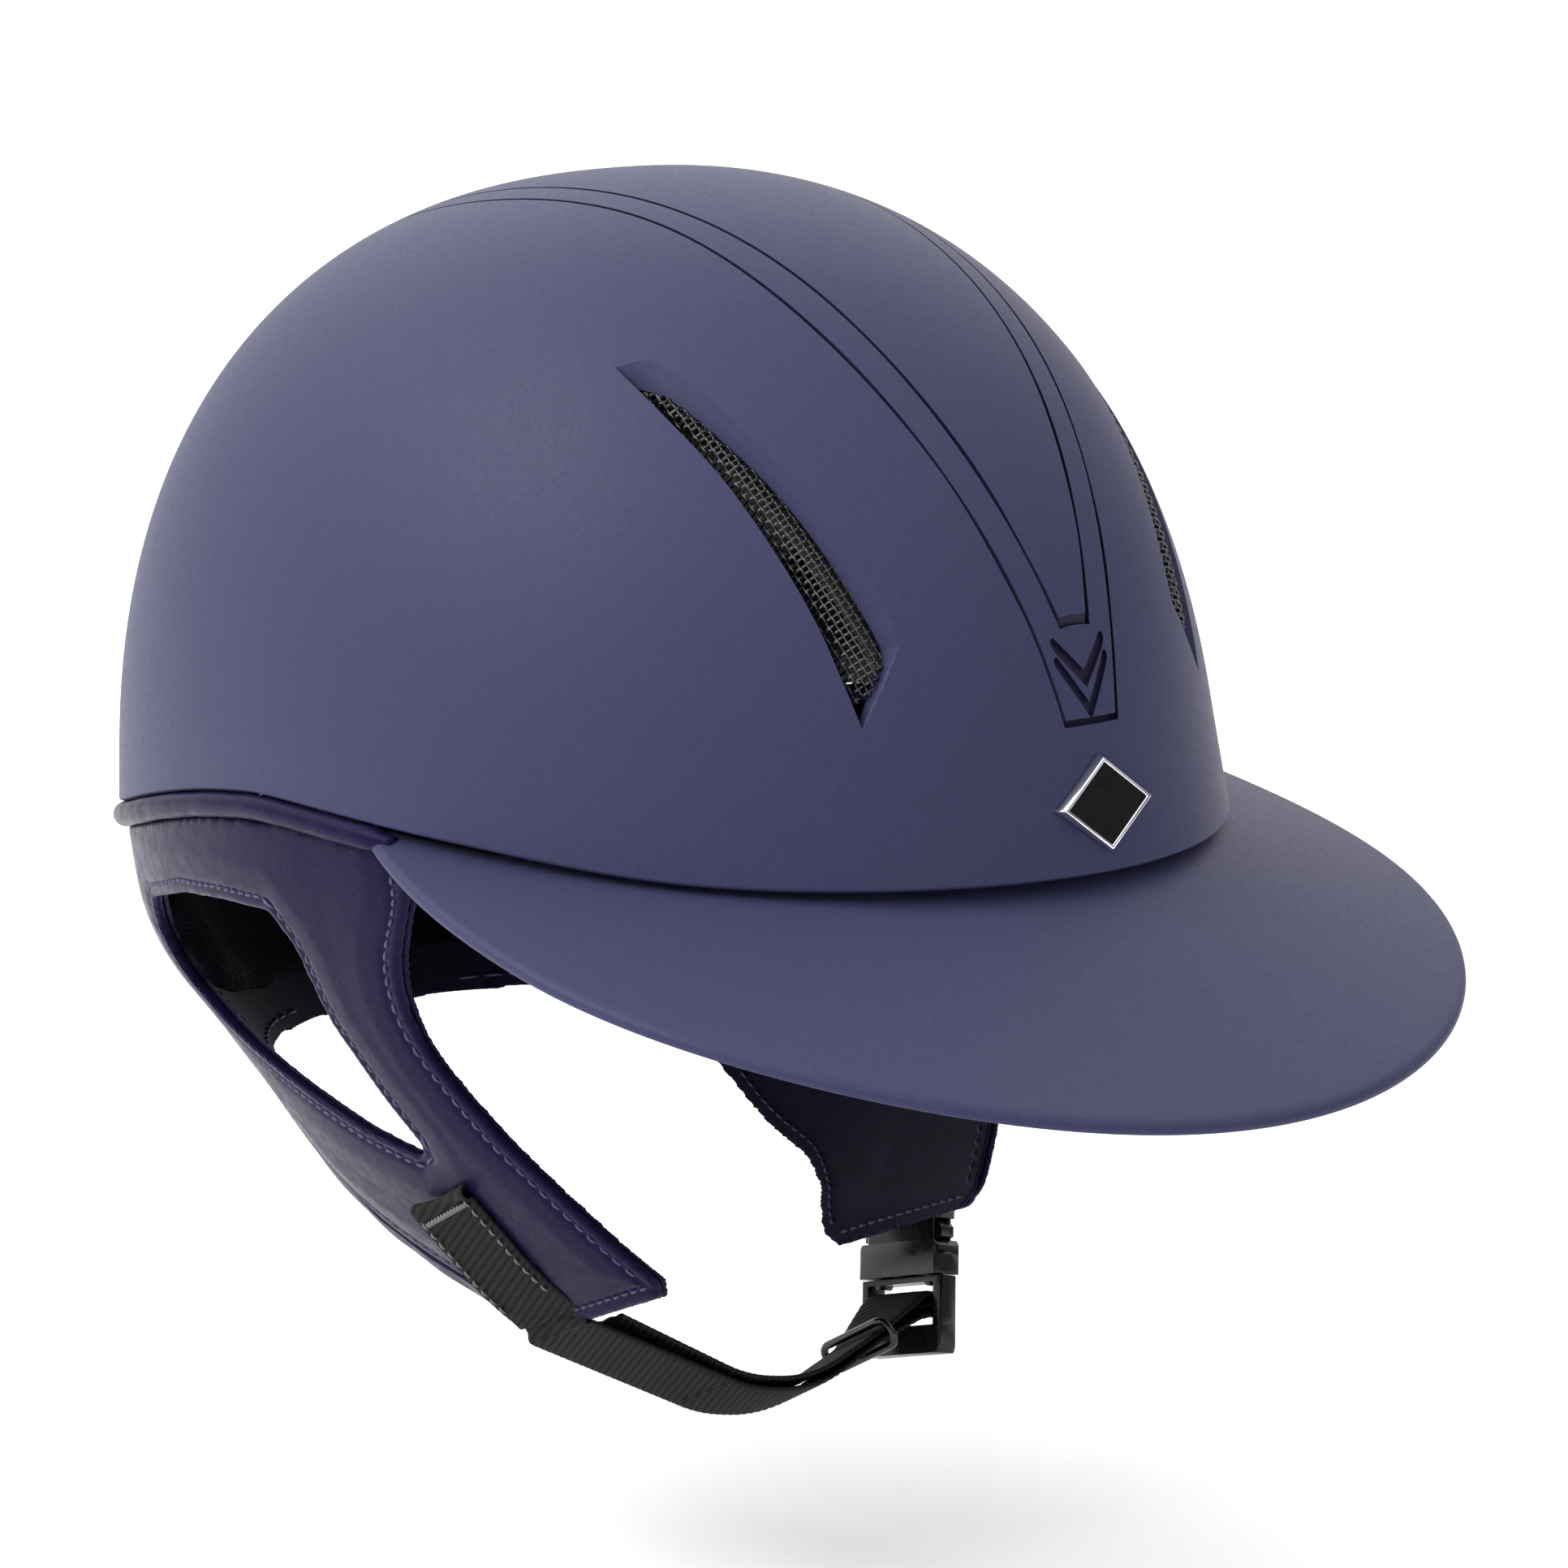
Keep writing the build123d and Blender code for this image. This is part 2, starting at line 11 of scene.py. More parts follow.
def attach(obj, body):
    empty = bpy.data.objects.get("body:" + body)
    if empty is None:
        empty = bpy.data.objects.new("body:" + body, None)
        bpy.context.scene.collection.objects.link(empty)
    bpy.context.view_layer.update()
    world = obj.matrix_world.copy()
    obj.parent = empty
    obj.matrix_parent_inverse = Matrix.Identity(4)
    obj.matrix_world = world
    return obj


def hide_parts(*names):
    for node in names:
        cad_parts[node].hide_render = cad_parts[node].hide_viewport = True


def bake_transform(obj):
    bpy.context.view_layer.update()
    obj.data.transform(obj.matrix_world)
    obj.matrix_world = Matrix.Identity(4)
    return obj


MM = 0.001

# Shell: superelliptic dome that leans back, with a flared rim.
HALF_WIDTH = 103.1 * MM
FRONT = 132.4 * MM
REAR = 135.5 * MM
HEIGHT = 125.5 * MM
EXPONENT = 2.24
FLARE = 0.047
LEAN = radians(6.7)
WALL = 3.0 * MM
RIM_SIDE = [(-170, -11.5), (-144, -11.5), (-100, -10.4), (-52, -5.7), (-3, -2.6), (20, -3.8), (50, -9.3),
            (96, -20.8), (141, -29.5), (170, -33)]

# Brim.
BRIM_CENTRE_Y = -92 * MM
BRIM_HALF_WIDTH = 118.5 * MM
BRIM_FRONT_REACH = 108 * MM
BRIM_REAR_REACH = 140 * MM
BRIM_THICKNESS = 3.0 * MM
BRIM_ROOT_X = 108 * MM
BRIM_ROOT_Y = 138.6 * MM

# Vent: plane over the right-hand window.
VENT_CENTRE = Vector((-56.3, -102.0, 53.5)) * MM
VENT_NORMAL = Vector((-0.618, -0.679, 0.395)).normalized()
VENT_ALONG = Vector((0.165, -0.604, -0.780)).normalized()
VENT_DEPTH = 2.7 * MM
WIRE_PITCH = 1.5 * MM
WIRE_RADIUS = 0.29 * MM

# Trim seat.
TRIM_DEPTH = 1.3 * MM
TRIM_GAP = 0.5 * MM
TRIM_FOOT = 20.0 * MM

# Piping and stitches.
PIPING_RADIUS = 2.8 * MM
THREAD_RADIUS = 0.42 * MM
STITCH_INSET = 3.0

# Harness and chin webbing.
HARNESS_TIP = radians(15.5)
WEB_WIDTH = 20 * MM
WEB_THICKNESS = 1.5 * MM
RIB_PITCH = 1.9
WEB_Y = 12 * MM
WEB_TWIST = radians(14)
LOOP_SPLIT_X = -12 * MM
BUCKLE_X = 56 * MM
BUCKLE_Z = -136.5 * MM
BUCKLE_LEAN = radians(15)
SOCKET_BAR = (19 * MM, 1.4 * MM)
PLUG_BAR = (-6.6 * MM, 1.5 * MM)
KEEPER_X = 37 * MM
KEEPER_Z = -148.6 * MM
KEEPER_WIRE = 0.95 * MM

# Stage.
FLOOR_SIZE = 6.0
FLOOR_Z = -0.19

# Camera.
CAMERA_AZIMUTH = radians(-42.75)
CAMERA_ELEVATION = radians(10.99)
CAMERA_DISTANCE = 1.2597
CAMERA_TARGET = Vector((0, -0.04257, -0.00735))
CAMERA_LENS = 131.26


# Materials ------------------------------------------------------------------------------------

def scaled(colour, share):
    return [min(share * c, 1) for c in colour]


def set_inputs(node, **values):
    """Sets inputs of a node; an underscore stands for the space in an input's name."""
    for name, value in values.items():
        node.inputs[name.replace("_", " ")].default_value = value


class Look:
    """A material's or the world's nodes, links and shader."""

    def __init__(self, owner, shader="Principled BSDF"):
        owner.use_nodes = True
        self.owner = owner
        self.nodes = owner.node_tree.nodes
        self.links = owner.node_tree.links
        self.shader = self.nodes[shader]

    def node(self, kind, **values):
        """New node with some of its inputs set."""
        node = self.nodes.new("ShaderNode" + kind)
        set_inputs(node, **values)
        return node

    def texture(self, kind, **values):
        """New texture node that reads the object's own coordinates."""
        node = self.node("Tex" + kind, **values)
        self.links.new(self.node("TexCoord").outputs["Object"], node.inputs["Vector"])
        return node

    def noise(self, scale, detail=4.0):
        return self.texture("Noise", Scale=scale, Detail=detail).outputs["Fac"]

    def spread(self, value, low, high, start=0.3, end=0.7, shape="LINEAR"):
        """A value's range from start to end, mapped to another range."""
        node = self.node("MapRange", From_Min=start, From_Max=end, To_Min=low, To_Max=high)
        node.interpolation_type = shape
        self.links.new(value, node.inputs["Value"])
        return node.outputs["Result"]

    def total(self, values):
        result = values[0]
        for value in values[1:]:
            add = self.node("Math")
            self.links.new(result, add.inputs[0])
            self.links.new(value, add.inputs[1])
            result = add.outputs["Value"]
        return result

    def tint(self, value, stops, colours):
        """Base colour that runs between two colours as a value runs between two stops."""
        node = self.node("ValToRGB")
        for stop, position, colour in zip(node.color_ramp.elements, stops, colours):
            stop.position = position
            stop.color = (*colour, 1)
        self.links.new(value, node.inputs["Fac"])
        self.links.new(node.outputs["Color"], self.shader.inputs["Base Color"])

    def vary_roughness(self, scale, low, high):
        self.links.new(self.spread(self.noise(scale), low, high), self.shader.inputs["Roughness"])

    def bump(self, height, strength, distance, before=None):
        """Surface relief from a height, over an earlier relief if one is given."""
        node = self.node("Bump", Strength=strength, Distance=distance)
        self.links.new(height, node.inputs["Height"])
        if before is not None:
            self.links.new(before, node.inputs["Normal"])
        self.links.new(node.outputs["Normal"], self.shader.inputs["Normal"])
        return node.outputs["Normal"]


def soft_touch(name, colour):
    """Matt rubberised paint with a fine orange peel and pinpoint speckle."""
    look = Look(bpy.data.materials.new(name))
    look.tint(look.noise(700), (0.35, 0.65), (scaled(colour, 0.95), scaled(colour, 1.04)))
    look.vary_roughness(900, 0.46, 0.56)
    set_inputs(look.shader, Specular_IOR_Level=0.17, Sheen_Weight=0.03, Sheen_Roughness=0.4)
    look.bump(look.noise(2600, 2), 0.12, 0.0001)
    return look.owner


def leather(name, colour, roughness=0.4):
    """Smooth leather: pebbled grain, soft creases and a satin finish."""
    look = Look(bpy.data.materials.new(name))
    look.tint(look.noise(500), (0.3, 0.7), (scaled(colour, 0.85), scaled(colour, 1.12)))
    look.vary_roughness(300, roughness - 0.05, roughness + 0.08)
    set_inputs(look.shader, Specular_IOR_Level=0.1, Specular_Tint=(0.5, 0.42, 1, 1))
    cells = look.texture("Voronoi", Scale=850)
    cells.feature = "DISTANCE_TO_EDGE"
    grain = look.bump(look.spread(cells.outputs["Distance"], 0, 1), 0.6, 0.0003)
    look.bump(look.noise(120, 6), 0.12, 0.0005, grain)
    return look.owner


def suede(name, colour, scale=1500):
    """Napped inner leather or brushed lining fabric."""
    look = Look(bpy.data.materials.new(name))
    look.tint(look.noise(220, 8), (0.3, 0.7), (scaled(colour, 0.6), scaled(colour, 1.25)))
    set_inputs(look.shader, Roughness=0.92, Specular_IOR_Level=0.1, Sheen_Weight=0.12, Sheen_Roughness=0.5)
    look.bump(look.noise(scale, 6), 0.5, 0.0003)
    return look.owner


def knit(name, colour):
    """Spacer fabric with a small regular weave."""
    look = Look(bpy.data.materials.new(name))
    heights = []
    for axis in "XYZ":
        wave = look.texture("Wave", Scale=260)
        wave.bands_direction = axis
        heights.append(wave.outputs["Fac"])
    look.tint(look.noise(500), (0.3, 0.7), (scaled(colour, 0.5), colour))
    set_inputs(look.shader, Roughness=0.85, Specular_IOR_Level=0.05, Sheen_Weight=0.02)
    look.bump(look.total(heights), 0.5, 0.0004)
    return look.owner


def grosgrain(name, colour):
    """Woven webbing: the ribs are in the mesh, and painted shade darkens the base colour in the grooves
    between them.
    """
    look = Look(bpy.data.materials.new(name))
    rib = look.node("Attribute")
    rib.attribute_name = "rib"
    # painted shade: the base colour falls to 15% of the tape's colour down in the rib grooves
    look.tint(rib.outputs["Fac"], (0.25, 0.85), (scaled(colour, 0.15), colour))
    set_inputs(look.shader, Roughness=0.62, Specular_IOR_Level=0.14)
    look.bump(look.noise(3500, 2), 0.5, 0.0002)
    return look.owner


def moulded(name, colour, roughness=0.32, metallic=0.0, specular=0.5):
    """Moulded plastic, enamel or bright metal with faint handling marks."""
    look = Look(bpy.data.materials.new(name))
    look.tint(look.noise(140), (0.35, 0.65), (colour, scaled(colour, 1.2)))
    look.vary_roughness(500, roughness * 0.85, roughness * 1.2)
    set_inputs(look.shader, Metallic=metallic, Specular_IOR_Level=specular)
    look.bump(look.noise(1800, 3), 0.08, 0.0001)
    return look.owner


def foam(name, colour):
    """Moulded bead foam: close-packed beads in relief, with painted shade in the creases between them and
    painted light on the bead middles.
    """
    look = Look(bpy.data.materials.new(name))
    beads = look.texture("Voronoi", Scale=380).outputs["Distance"]
    # painted shade and light: the colour follows the bead relief, darkest in the creases and twice as light
    # at the bead middles
    look.tint(beads, (0.2, 0.8), (scaled(colour, 2.0), colour))
    set_inputs(look.shader, Roughness=0.7)
    look.bump(beads, 0.5, -0.0006)
    return look.owner


# Mesh helpers ---------------------------------------------------------------------------------

def mesh_object(name, vertices, faces, material, smooth=True):
    mesh = bpy.data.meshes.new(name)
    mesh.from_pydata([tuple(v) for v in vertices], [], [tuple(int(i) for i in f) for f in faces])
    mesh.validate()
    mesh.materials.append(material)
    mesh.polygons.foreach_set("use_smooth", [smooth] * len(mesh.polygons))
    piece = bpy.data.objects.new(name, mesh)
    bpy.context.scene.collection.objects.link(piece)
    return piece


def tube_faces(rings, size, closed=False, caps=True):
    """Quads between successive rings of `size` vertices, with end caps or closed on itself."""
    faces = []
    last = rings if closed else rings - 1
    for ring in range(last):
        a, b = ring * size, ((ring + 1) % rings) * size
        for i in range(size):
            j = (i + 1) % size
            faces.append((a + i, a + j, b + j, b + i))
    if caps and not closed:
        faces.append(tuple(reversed(range(size))))
        faces.append(tuple(range((rings - 1) * size, rings * size)))
    return faces


def evaluated(piece):
    """Mesh of a piece with its modifiers applied."""
    graph = bpy.context.evaluated_depsgraph_get()
    graph.update()
    return bpy.data.meshes.new_from_object(piece.evaluated_get(graph))


def apply_modifiers(piece):
    mesh = evaluated(piece)
    piece.modifiers.clear()
    old = piece.data
    piece.data = mesh
    bpy.data.meshes.remove(old)


def cut(piece, cutter, operation="DIFFERENCE"):
    """Boolean of two closed meshes; cut faces take the cutter's material, and the cutter is removed."""
    modifier = piece.modifiers.new("cut", "BOOLEAN")
    modifier.material_mode = "TRANSFER"
    modifier.operation = operation
    modifier.solver = "EXACT"
    modifier.object = cutter
    apply_modifiers(piece)
    bpy.data.objects.remove(cutter)


def clean(piece, weld=0.0, turn_out=True):
    """Merges vertices nearer than `weld` and turns the faces of a closed mesh outwards."""
    work = bmesh.new()
    work.from_mesh(piece.data)
    if weld:
        bmesh.ops.remove_doubles(work, verts=work.verts, dist=weld)
    if turn_out:
        bmesh.ops.recalc_face_normals(work, faces=work.faces)
    work.to_mesh(piece.data)
    work.free()
    return piece


def cad_copy(name, node, material):
    """Own copy of a CAD node's mesh, with its doubled vertices merged."""
    piece = bpy.data.objects.new(name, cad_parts[node].data.copy())
    piece.data.materials.clear()
    piece.data.materials.append(material)
    bpy.context.scene.collection.objects.link(piece)
    return clean(piece, weld=1e-6, turn_out=False)


def coordinates(mesh):
    flat = np.zeros(len(mesh.vertices) * 3)
    mesh.vertices.foreach_get("co", flat)
    return flat.reshape(-1, 3)


def vertex_normals(mesh):
    flat = np.zeros(len(mesh.vertices) * 3)
    mesh.vertex_normals.foreach_get("vector", flat)
    return flat.reshape(-1, 3)


def set_coordinates(mesh, points):
    mesh.vertices.foreach_set("co", points.astype(np.float32).ravel())
    mesh.update()


def unit(vectors):
    return vectors / np.linalg.norm(vectors, axis=-1, keepdims=True)


def smooth_curve(points, per_span=12):
    """Catmull-Rom curve through the points, as a dense polyline."""
    p = np.array(points, float)
    p = np.vstack([2 * p[0] - p[1], p, 2 * p[-1] - p[-2]])
    t = np.linspace(0, 1, per_span, endpoint=False)[:, None]
    spans = []
    for a, b, c, d in zip(p, p[1:], p[2:], p[3:]):
        spans.append(0.5 * (2 * b + (c - a) * t + (2 * a - 5 * b + 4 * c - d) * t ** 2
                            + (3 * b - a - 3 * c + d) * t ** 3))
    return np.vstack(spans + [p[-2:-1]])


def resample(points, step):
    """The polyline's points at even steps along it."""
    p = np.array(points, float)
    along = np.concatenate([[0], np.cumsum(np.linalg.norm(np.diff(p, axis=0), axis=1))])
    count = max(int(round(along[-1] / step)), 2)
    at = np.linspace(0, along[-1], count + 1)
    return np.stack([np.interp(at, along, p[:, k]) for k in range(p.shape[1])], axis=1)


def smooth_rows(points, rounds):
    """Relaxes a path's kinks and leaves its ends."""
    p = points.copy()
    for _ in range(rounds):
        p[1:-1] = (p[:-2] + 2 * p[1:-1] + p[2:]) / 4
    return p


def rounded_route(points, radii, step=0.5 * MM):
    """Plane polyline with its inner corners rounded to the given radii, at even steps."""
    p = [np.array(q, float) for q in points]
    route = [p[0]]
    for before, corner, after, radius in zip(p, p[1:], p[2:], radii):
        u, v = unit(before - corner), unit(after - corner)
        half = np.arccos(np.clip(u @ v, -1, 1)) / 2
        reach = radius / tan(half)
        centre = corner + unit(u + v) * radius / sin(half)
        start, end = corner + u * reach - centre, corner + v * reach - centre
        turn = pi - 2 * half
        for k in range(9):
            share = k / 8
            arm = sin((1 - share) * turn) * start + sin(share * turn) * end
            route.append(centre + arm / sin(turn))
    route.append(p[-1])
    return resample(route, step)


def sweep_round(path, radius, sides, taper=None, closed=False):
    """Vertices and faces of a round tube along a path."""
    path = np.array(path)
    tangent = np.gradient(path, axis=0)
    if closed:
        tangent = np.roll(path, -1, axis=0) - np.roll(path, 1, axis=0)
    tangent = unit(tangent)
    guide = np.array([0.31, 0.77, 0.55])
    first = unit(np.cross(tangent, guide))
    second = np.cross(tangent, first)
    angle = np.linspace(0, 2 * pi, sides, endpoint=False)
    size = np.full(len(path), radius) if taper is None else radius * taper
    ring = np.cos(angle)[None, :, None] * first[:, None] + np.sin(angle)[None, :, None] * second[:, None]
    points = path[:, None] + ring * size[:, None, None]
    return points.reshape(-1, 3), tube_faces(len(path), sides, closed)


def join(tubes):
    """Vertices and faces of several tubes as one mesh."""
    vertices, faces = [], []
    for points, loops in tubes:
        faces += [tuple(len(vertices) + i for i in face) for face in loops]
        vertices += list(points)
    return vertices, faces


# Shell ----------------------------------------------------------------------------------------

def lean(points, angle):
    """Points turned about X so that their tops go back."""
    x, y, z = np.moveaxis(np.asarray(points, float), -1, 0)
    return np.stack([x, y * cos(angle) + z * sin(angle), z * cos(angle) - y * sin(angle)], axis=-1)


def dome_point(turn, rise, inset=0.0):
    """Point on the dome; turn is from +X towards +Y, and rise is the share of its height."""
    turn, rise = np.broadcast_arrays(np.asarray(turn, float), np.asarray(rise, float))
    up = np.clip(rise, 0, 1)
    spread_out = (1 - up ** EXPONENT) ** (1 / EXPONENT) * (1 + FLARE * (1 - rise) ** 2)
    length = np.where(np.sin(turn) > 0, REAR, FRONT) - inset
    x = (HALF_WIDTH - inset) * spread_out * np.cos(turn)
    y = length * spread_out * np.sin(turn)
    return lean(np.stack([x, y, (HEIGHT - inset) * rise], axis=-1), LEAN)


def dome_level(points, inset=0.0):
    """Zero on the dome, positive outside it."""
    x, y, z = np.moveaxis(lean(points, -LEAN), -1, 0)
    rise = z / (HEIGHT - inset)
    up = np.clip(rise, 0, 1)
    length = np.where(y > 0, REAR, FRONT) - inset
    radius = np.sqrt((x / (HALF_WIDTH - inset)) ** 2 + (y / length) ** 2)
    radius = radius / (1 + FLARE * (1 - rise) ** 2)
    return (radius ** EXPONENT + np.sign(rise) * np.abs(up) ** EXPONENT) ** (1 / EXPONENT) - 1


def dome_normal(points, inset=0.0):
    step = 0.05 * MM
    gradient = []
    for axis in np.eye(3) * step:
        gradient.append(dome_level(points + axis, inset) - dome_level(points - axis, inset))
    return unit(np.stack(gradient, axis=-1))


def rim_height(y):
    side = smooth_curve(RIM_SIDE) * MM
    return np.interp(y, side[:, 0], side[:, 1])


def boundary(low, high, holds):
    """Where a test that holds at `low` stops holding on the way to `high`."""
    for _ in range(30):
        middle = (low + high) / 2
        held = holds(middle)
        low, high = np.where(held, middle, low), np.where(held, high, middle)
    return (low + high) / 2


def rim_rise(turn, inset, lift):
    """Rise at which the dome meets the rim line moved up by `lift`."""
    def below(rise):
        point = dome_point(turn, rise, inset)
        return point[:, 2] < rim_height(point[:, 1]) + lift

    return boundary(np.full(len(turn), -0.45), np.full(len(turn), 0.3), below)


def dome_rings(turn, inset, lift, climb):
    """Rings from the rim up to just under the pole, as a list of point arrays."""
    start = rim_rise(turn, inset, lift)
    rings = []
    for share in climb:
        angle = share * pi / 2
        rise = sin(angle) ** (2 / EXPONENT) if share > 0 else 0
        low = start * (1 - share) ** 6
        rings.append(dome_point(turn, low + rise * (1 - low), inset))
    return rings


def dome_solid(name, insets, material, count=300):
    """Closed shell between two insets, or a solid dome when only one is given."""
    turn = np.linspace(0, 2 * pi, count, endpoint=False)
    climb = np.linspace(0, 1, 90)[:-1]
    outer = dome_rings(turn, insets[0], 1.0 * MM, climb)
    rings = [ring for ring in reversed(outer)]
    if len(insets) > 1:
        wall = insets[1] - insets[0]
        for step in range(1, 8):
            angle = pi * step / 8
            inset = insets[0] + wall / 2 * (1 - cos(angle))
            lift = 1.0 * MM * (1 - sin(angle))
            rings.append(dome_point(turn, rim_rise(turn, inset, lift), inset))
        rings += dome_rings(turn, insets[1], 1.0 * MM, climb)
    vertices = np.vstack(rings)
    faces = tube_faces(len(rings), count, caps=False)
    first = len(vertices)
    pole = dome_point(0.0, 1.0, insets[0])
    faces += [(first, (i + 1) % count, i) for i in range(count)]
    poles = [pole]
    base = (len(rings) - 1) * count
    if len(insets) > 1:
        poles.append(dome_point(0.0, 1.0, insets[1]))
        faces += [(first + 1, base + i, base + (i + 1) % count) for i in range(count)]
    else:
        faces.append(tuple(base + i for i in range(count)))
    return clean(mesh_object(name, np.vstack([vertices, poles]), faces, material))


def shade_on_dome(piece):
    """Exact dome normals on every face that lies along the dome; other faces keep their own."""
    mesh = piece.data
    mesh.shade_smooth()
    points = coordinates(mesh)
    exact = dome_normal(points)
    normals = np.zeros((len(mesh.loops), 3))
    for face in mesh.polygons:
        own = np.array(face.normal)
        for loop in face.loop_indices:
            normal = exact[mesh.loops[loop].vertex_index]
            facing = normal @ own
            normals[loop] = normal if facing > 0.96 else (-normal if facing < -0.96 else own)
    mesh.normals_split_custom_set([tuple(n) for n in normals])


def paint_wall_shade(piece, dark):
    """Dark material on the faces that stand square to the dome: painted shade on the side walls of the trim.
    """
    piece.data.materials.append(dark)
    centres = np.array([face.center for face in piece.data.polygons])
    for face, normal in zip(piece.data.polygons, dome_normal(centres)):
        if abs(normal @ np.array(face.normal)) < 0.8:
            face.material_index = 1


def to_dome(along, across, inset=0.0):
    """Where lines through the vent's plane, at its own coordinates, meet the dome."""
    side = VENT_NORMAL.cross(VENT_ALONG)
    start = np.array(VENT_CENTRE) + np.outer(along, VENT_ALONG) + np.outer(across, side)

    def move(shift):
        return start + shift[:, None] * np.array(VENT_NORMAL)

    shifts = np.full(len(start), -0.06), np.full(len(start), 0.02)
    return move(boundary(*shifts, lambda shift: dome_level(move(shift), inset) < 0))


def vent_edges():
    """Window and recess outlines: (upper, lower) curves of each, tail to nose, in metres."""
    window_upper = [(-52, -3.5), (-46.5, 0.4), (-37, 3.6), (-16, 8.2), (2, 9.9), (16, 10.1), (25.2, 9.5)]
    recess_upper = [(-57, -4.6), (-53.5, 2.6), (-44, 6.4), (-19, 11.8), (3, 14), (17, 14.4),
                    (26.2, 12.6)]
    lower = [(-52, -3.5), (-40, -1.7), (-22, 0.7), (-2, 1.3), (14, 0.6), (26, -1.0), (35.6, -2.6)]
    recess_lower = [(s - (5 if s < -50 else 0), w - 0.35) for s, w in lower]
    recess_lower[0] = recess_upper[0]
    recess_lower[-1] = (37.0, -3.1)
    curves = [smooth_curve(c) * MM for c in (window_upper, lower, recess_upper, recess_lower)]
    return (curves[0], curves[1]), (curves[2], curves[3])


def outline_ring(upper, lower):
    return np.vstack([upper, lower[::-1]])


def vent_cutter(material, mirrored):
    """Closed cutter: flares outwards through the recess and drops straight through the window."""
    window, recess = vent_edges()
    inner, outer = outline_ring(*window), outline_ring(*recess)
    at_window = to_dome(inner[:, 0], inner[:, 1])
    at_ridge = to_dome(outer[:, 0], outer[:, 1])
    normal = dome_normal(at_window)
    floor = at_window - normal * VENT_DEPTH
    through = at_window - normal * 3 * VENT_DEPTH
    above = at_ridge + (at_ridge - floor) * 0.7
    rings = np.vstack([above, at_ridge, floor, through])
    size = len(inner)
    faces = tube_faces(4, size, caps=False)
    half = size // 2
    for i in range(half - 1):
        j = size - 1 - i
        faces.append((i, i + 1, j - 1, j))
        base = 3 * size
        faces.append((base + i, base + j, base + j - 1, base + i + 1))
    if mirrored:
        rings = rings * np.array([-1, 1, 1])
    return clean(mesh_object("vent_cutter", rings, faces, material), weld=1e-7)


def trim_sides(gap):
    """Edges of the trim's left leg in plan, moved apart by `gap`, from the foot to the back."""
    outer = [(6.4, -138.2), (11.1, -131.2), (17, -121), (25.2, -99), (30.2, -73), (32.8, -35), (35, 15),
             (31.5, 52), (20, 82)]
    inner = [(4.2, -131.2), (10.3, -121), (18.2, -99), (23, -73), (26.5, -35), (28, 15), (25.5, 50),
             (16, 80)]
    outer = smooth_curve(outer) * MM + (gap, 0)
    inner = smooth_curve(inner) * MM - (gap, 0)
    outer[0, 1] -= 3 * gap
    inner[0, 1] += gap
    outer[-1, 1] += gap
    inner[-1, 1] += gap
    return inner, outer


def seat_cutter(material):
    """Prism over the trim's plan, a little larger all round, whose floor follows the dome."""
    inner, outer = trim_sides(TRIM_GAP)
    plan = np.vstack([outer, inner[::-1], inner * (-1, 1), outer[::-1] * (-1, 1)])
    size = len(plan)
    low = np.column_stack([plan, np.full(size, TRIM_FOOT - 1.2 * MM)])
    high = np.column_stack([plan, np.full(size, 150 * MM)])
    faces = tube_faces(2, size)
    prism = clean(mesh_object("seat_cutter", np.vstack([low, high]), faces, material))
    cut(prism, dome_solid("floor", [TRIM_DEPTH], material, 200))
    return prism


def build_shell(paint, dark):
    shell = dome_solid("helmet_shell", [0.0, WALL], paint)
    cut(shell, vent_cutter(paint, False))
    cut(shell, vent_cutter(paint, True))
    # painted shade: the seat cutter's faces pass the dark material to the seat's walls and floor in the
    # shell, darkening the groove round the trim and under its foot
    cut(shell, seat_cutter(dark))
    shade_on_dome(shell)
    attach(shell, "helmet")
    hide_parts("outer_shell")
    trim = cad_copy("crown_trim", "centre_trim", paint)
    shade_on_dome(trim)
    # painted shade on the trim's own side walls
    paint_wall_shade(trim, dark)
    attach(trim, "helmet")
    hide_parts("centre_trim")
    paint_node("trim_backing", dark)


def paint_node(node, material):
    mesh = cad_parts[node].data
    mesh.materials.clear()
    mesh.materials.append(material)


# Vent mesh ------------------------------------------------------------------------------------

def inside_outline(s, w, grow):
    """Whether points of the vent's plane lie in its window, grown all round but at the nose."""
    (upper, lower), _ = vent_edges()
    top = np.interp(s, upper[:, 0], upper[:, 1], left=-1, right=-1)
    nose = upper[-1] + np.outer(np.linspace(0, 1, 5), lower[-1] - upper[-1])
    top = np.where(s > upper[-1, 0], np.interp(s, nose[:, 0], nose[:, 1]), top)
    bottom = np.interp(s, lower[:, 0], lower[:, 1])
    along = (s > lower[0, 0] - grow) & (s < lower[-1, 0] - 4 * MM)
    return along & (w < top + grow) & (w > bottom - grow)


def crown_of_window(s, w):
    """Zero at the window's edges and one along its middle."""
    (upper, lower), _ = vent_edges()
    high = np.interp(s, upper[:, 0], upper[:, 1])
    low = np.interp(s, lower[:, 0], lower[:, 1])
    share = np.clip((w - low) / np.maximum(high - low, 0.5 * MM), 0, 1)
    ends = np.clip(np.minimum(s - upper[0, 0], lower[-1, 0] - s) / (8 * MM), 0, 1)
    return np.sin(pi * share) ** 0.6 * ends


def wire_run(fixed, along_s, phase):
    """Points of one woven wire across the window, or nothing where it misses."""
    quarter = WIRE_PITCH / 4
    moving = np.arange(-60 * MM, 45 * MM, quarter) if along_s else np.arange(-9 * MM, 18 * MM, quarter)
    s, w = (moving, np.full(len(moving), fixed)) if along_s else (np.full(len(moving), fixed), moving)
    keep = inside_outline(s, w, 1.2 * MM)
    if keep.sum() < 12:
        return None
    s, w = s[keep], w[keep]
    wave = np.cos(pi * moving[keep] / WIRE_PITCH + phase) * WIRE_RADIUS * 1.05
    depth = 3.9 * MM - 3.1 * MM * crown_of_window(s, w)
    points = to_dome(s, w, depth)
    return points + dome_normal(points, depth) * wave[:, None]


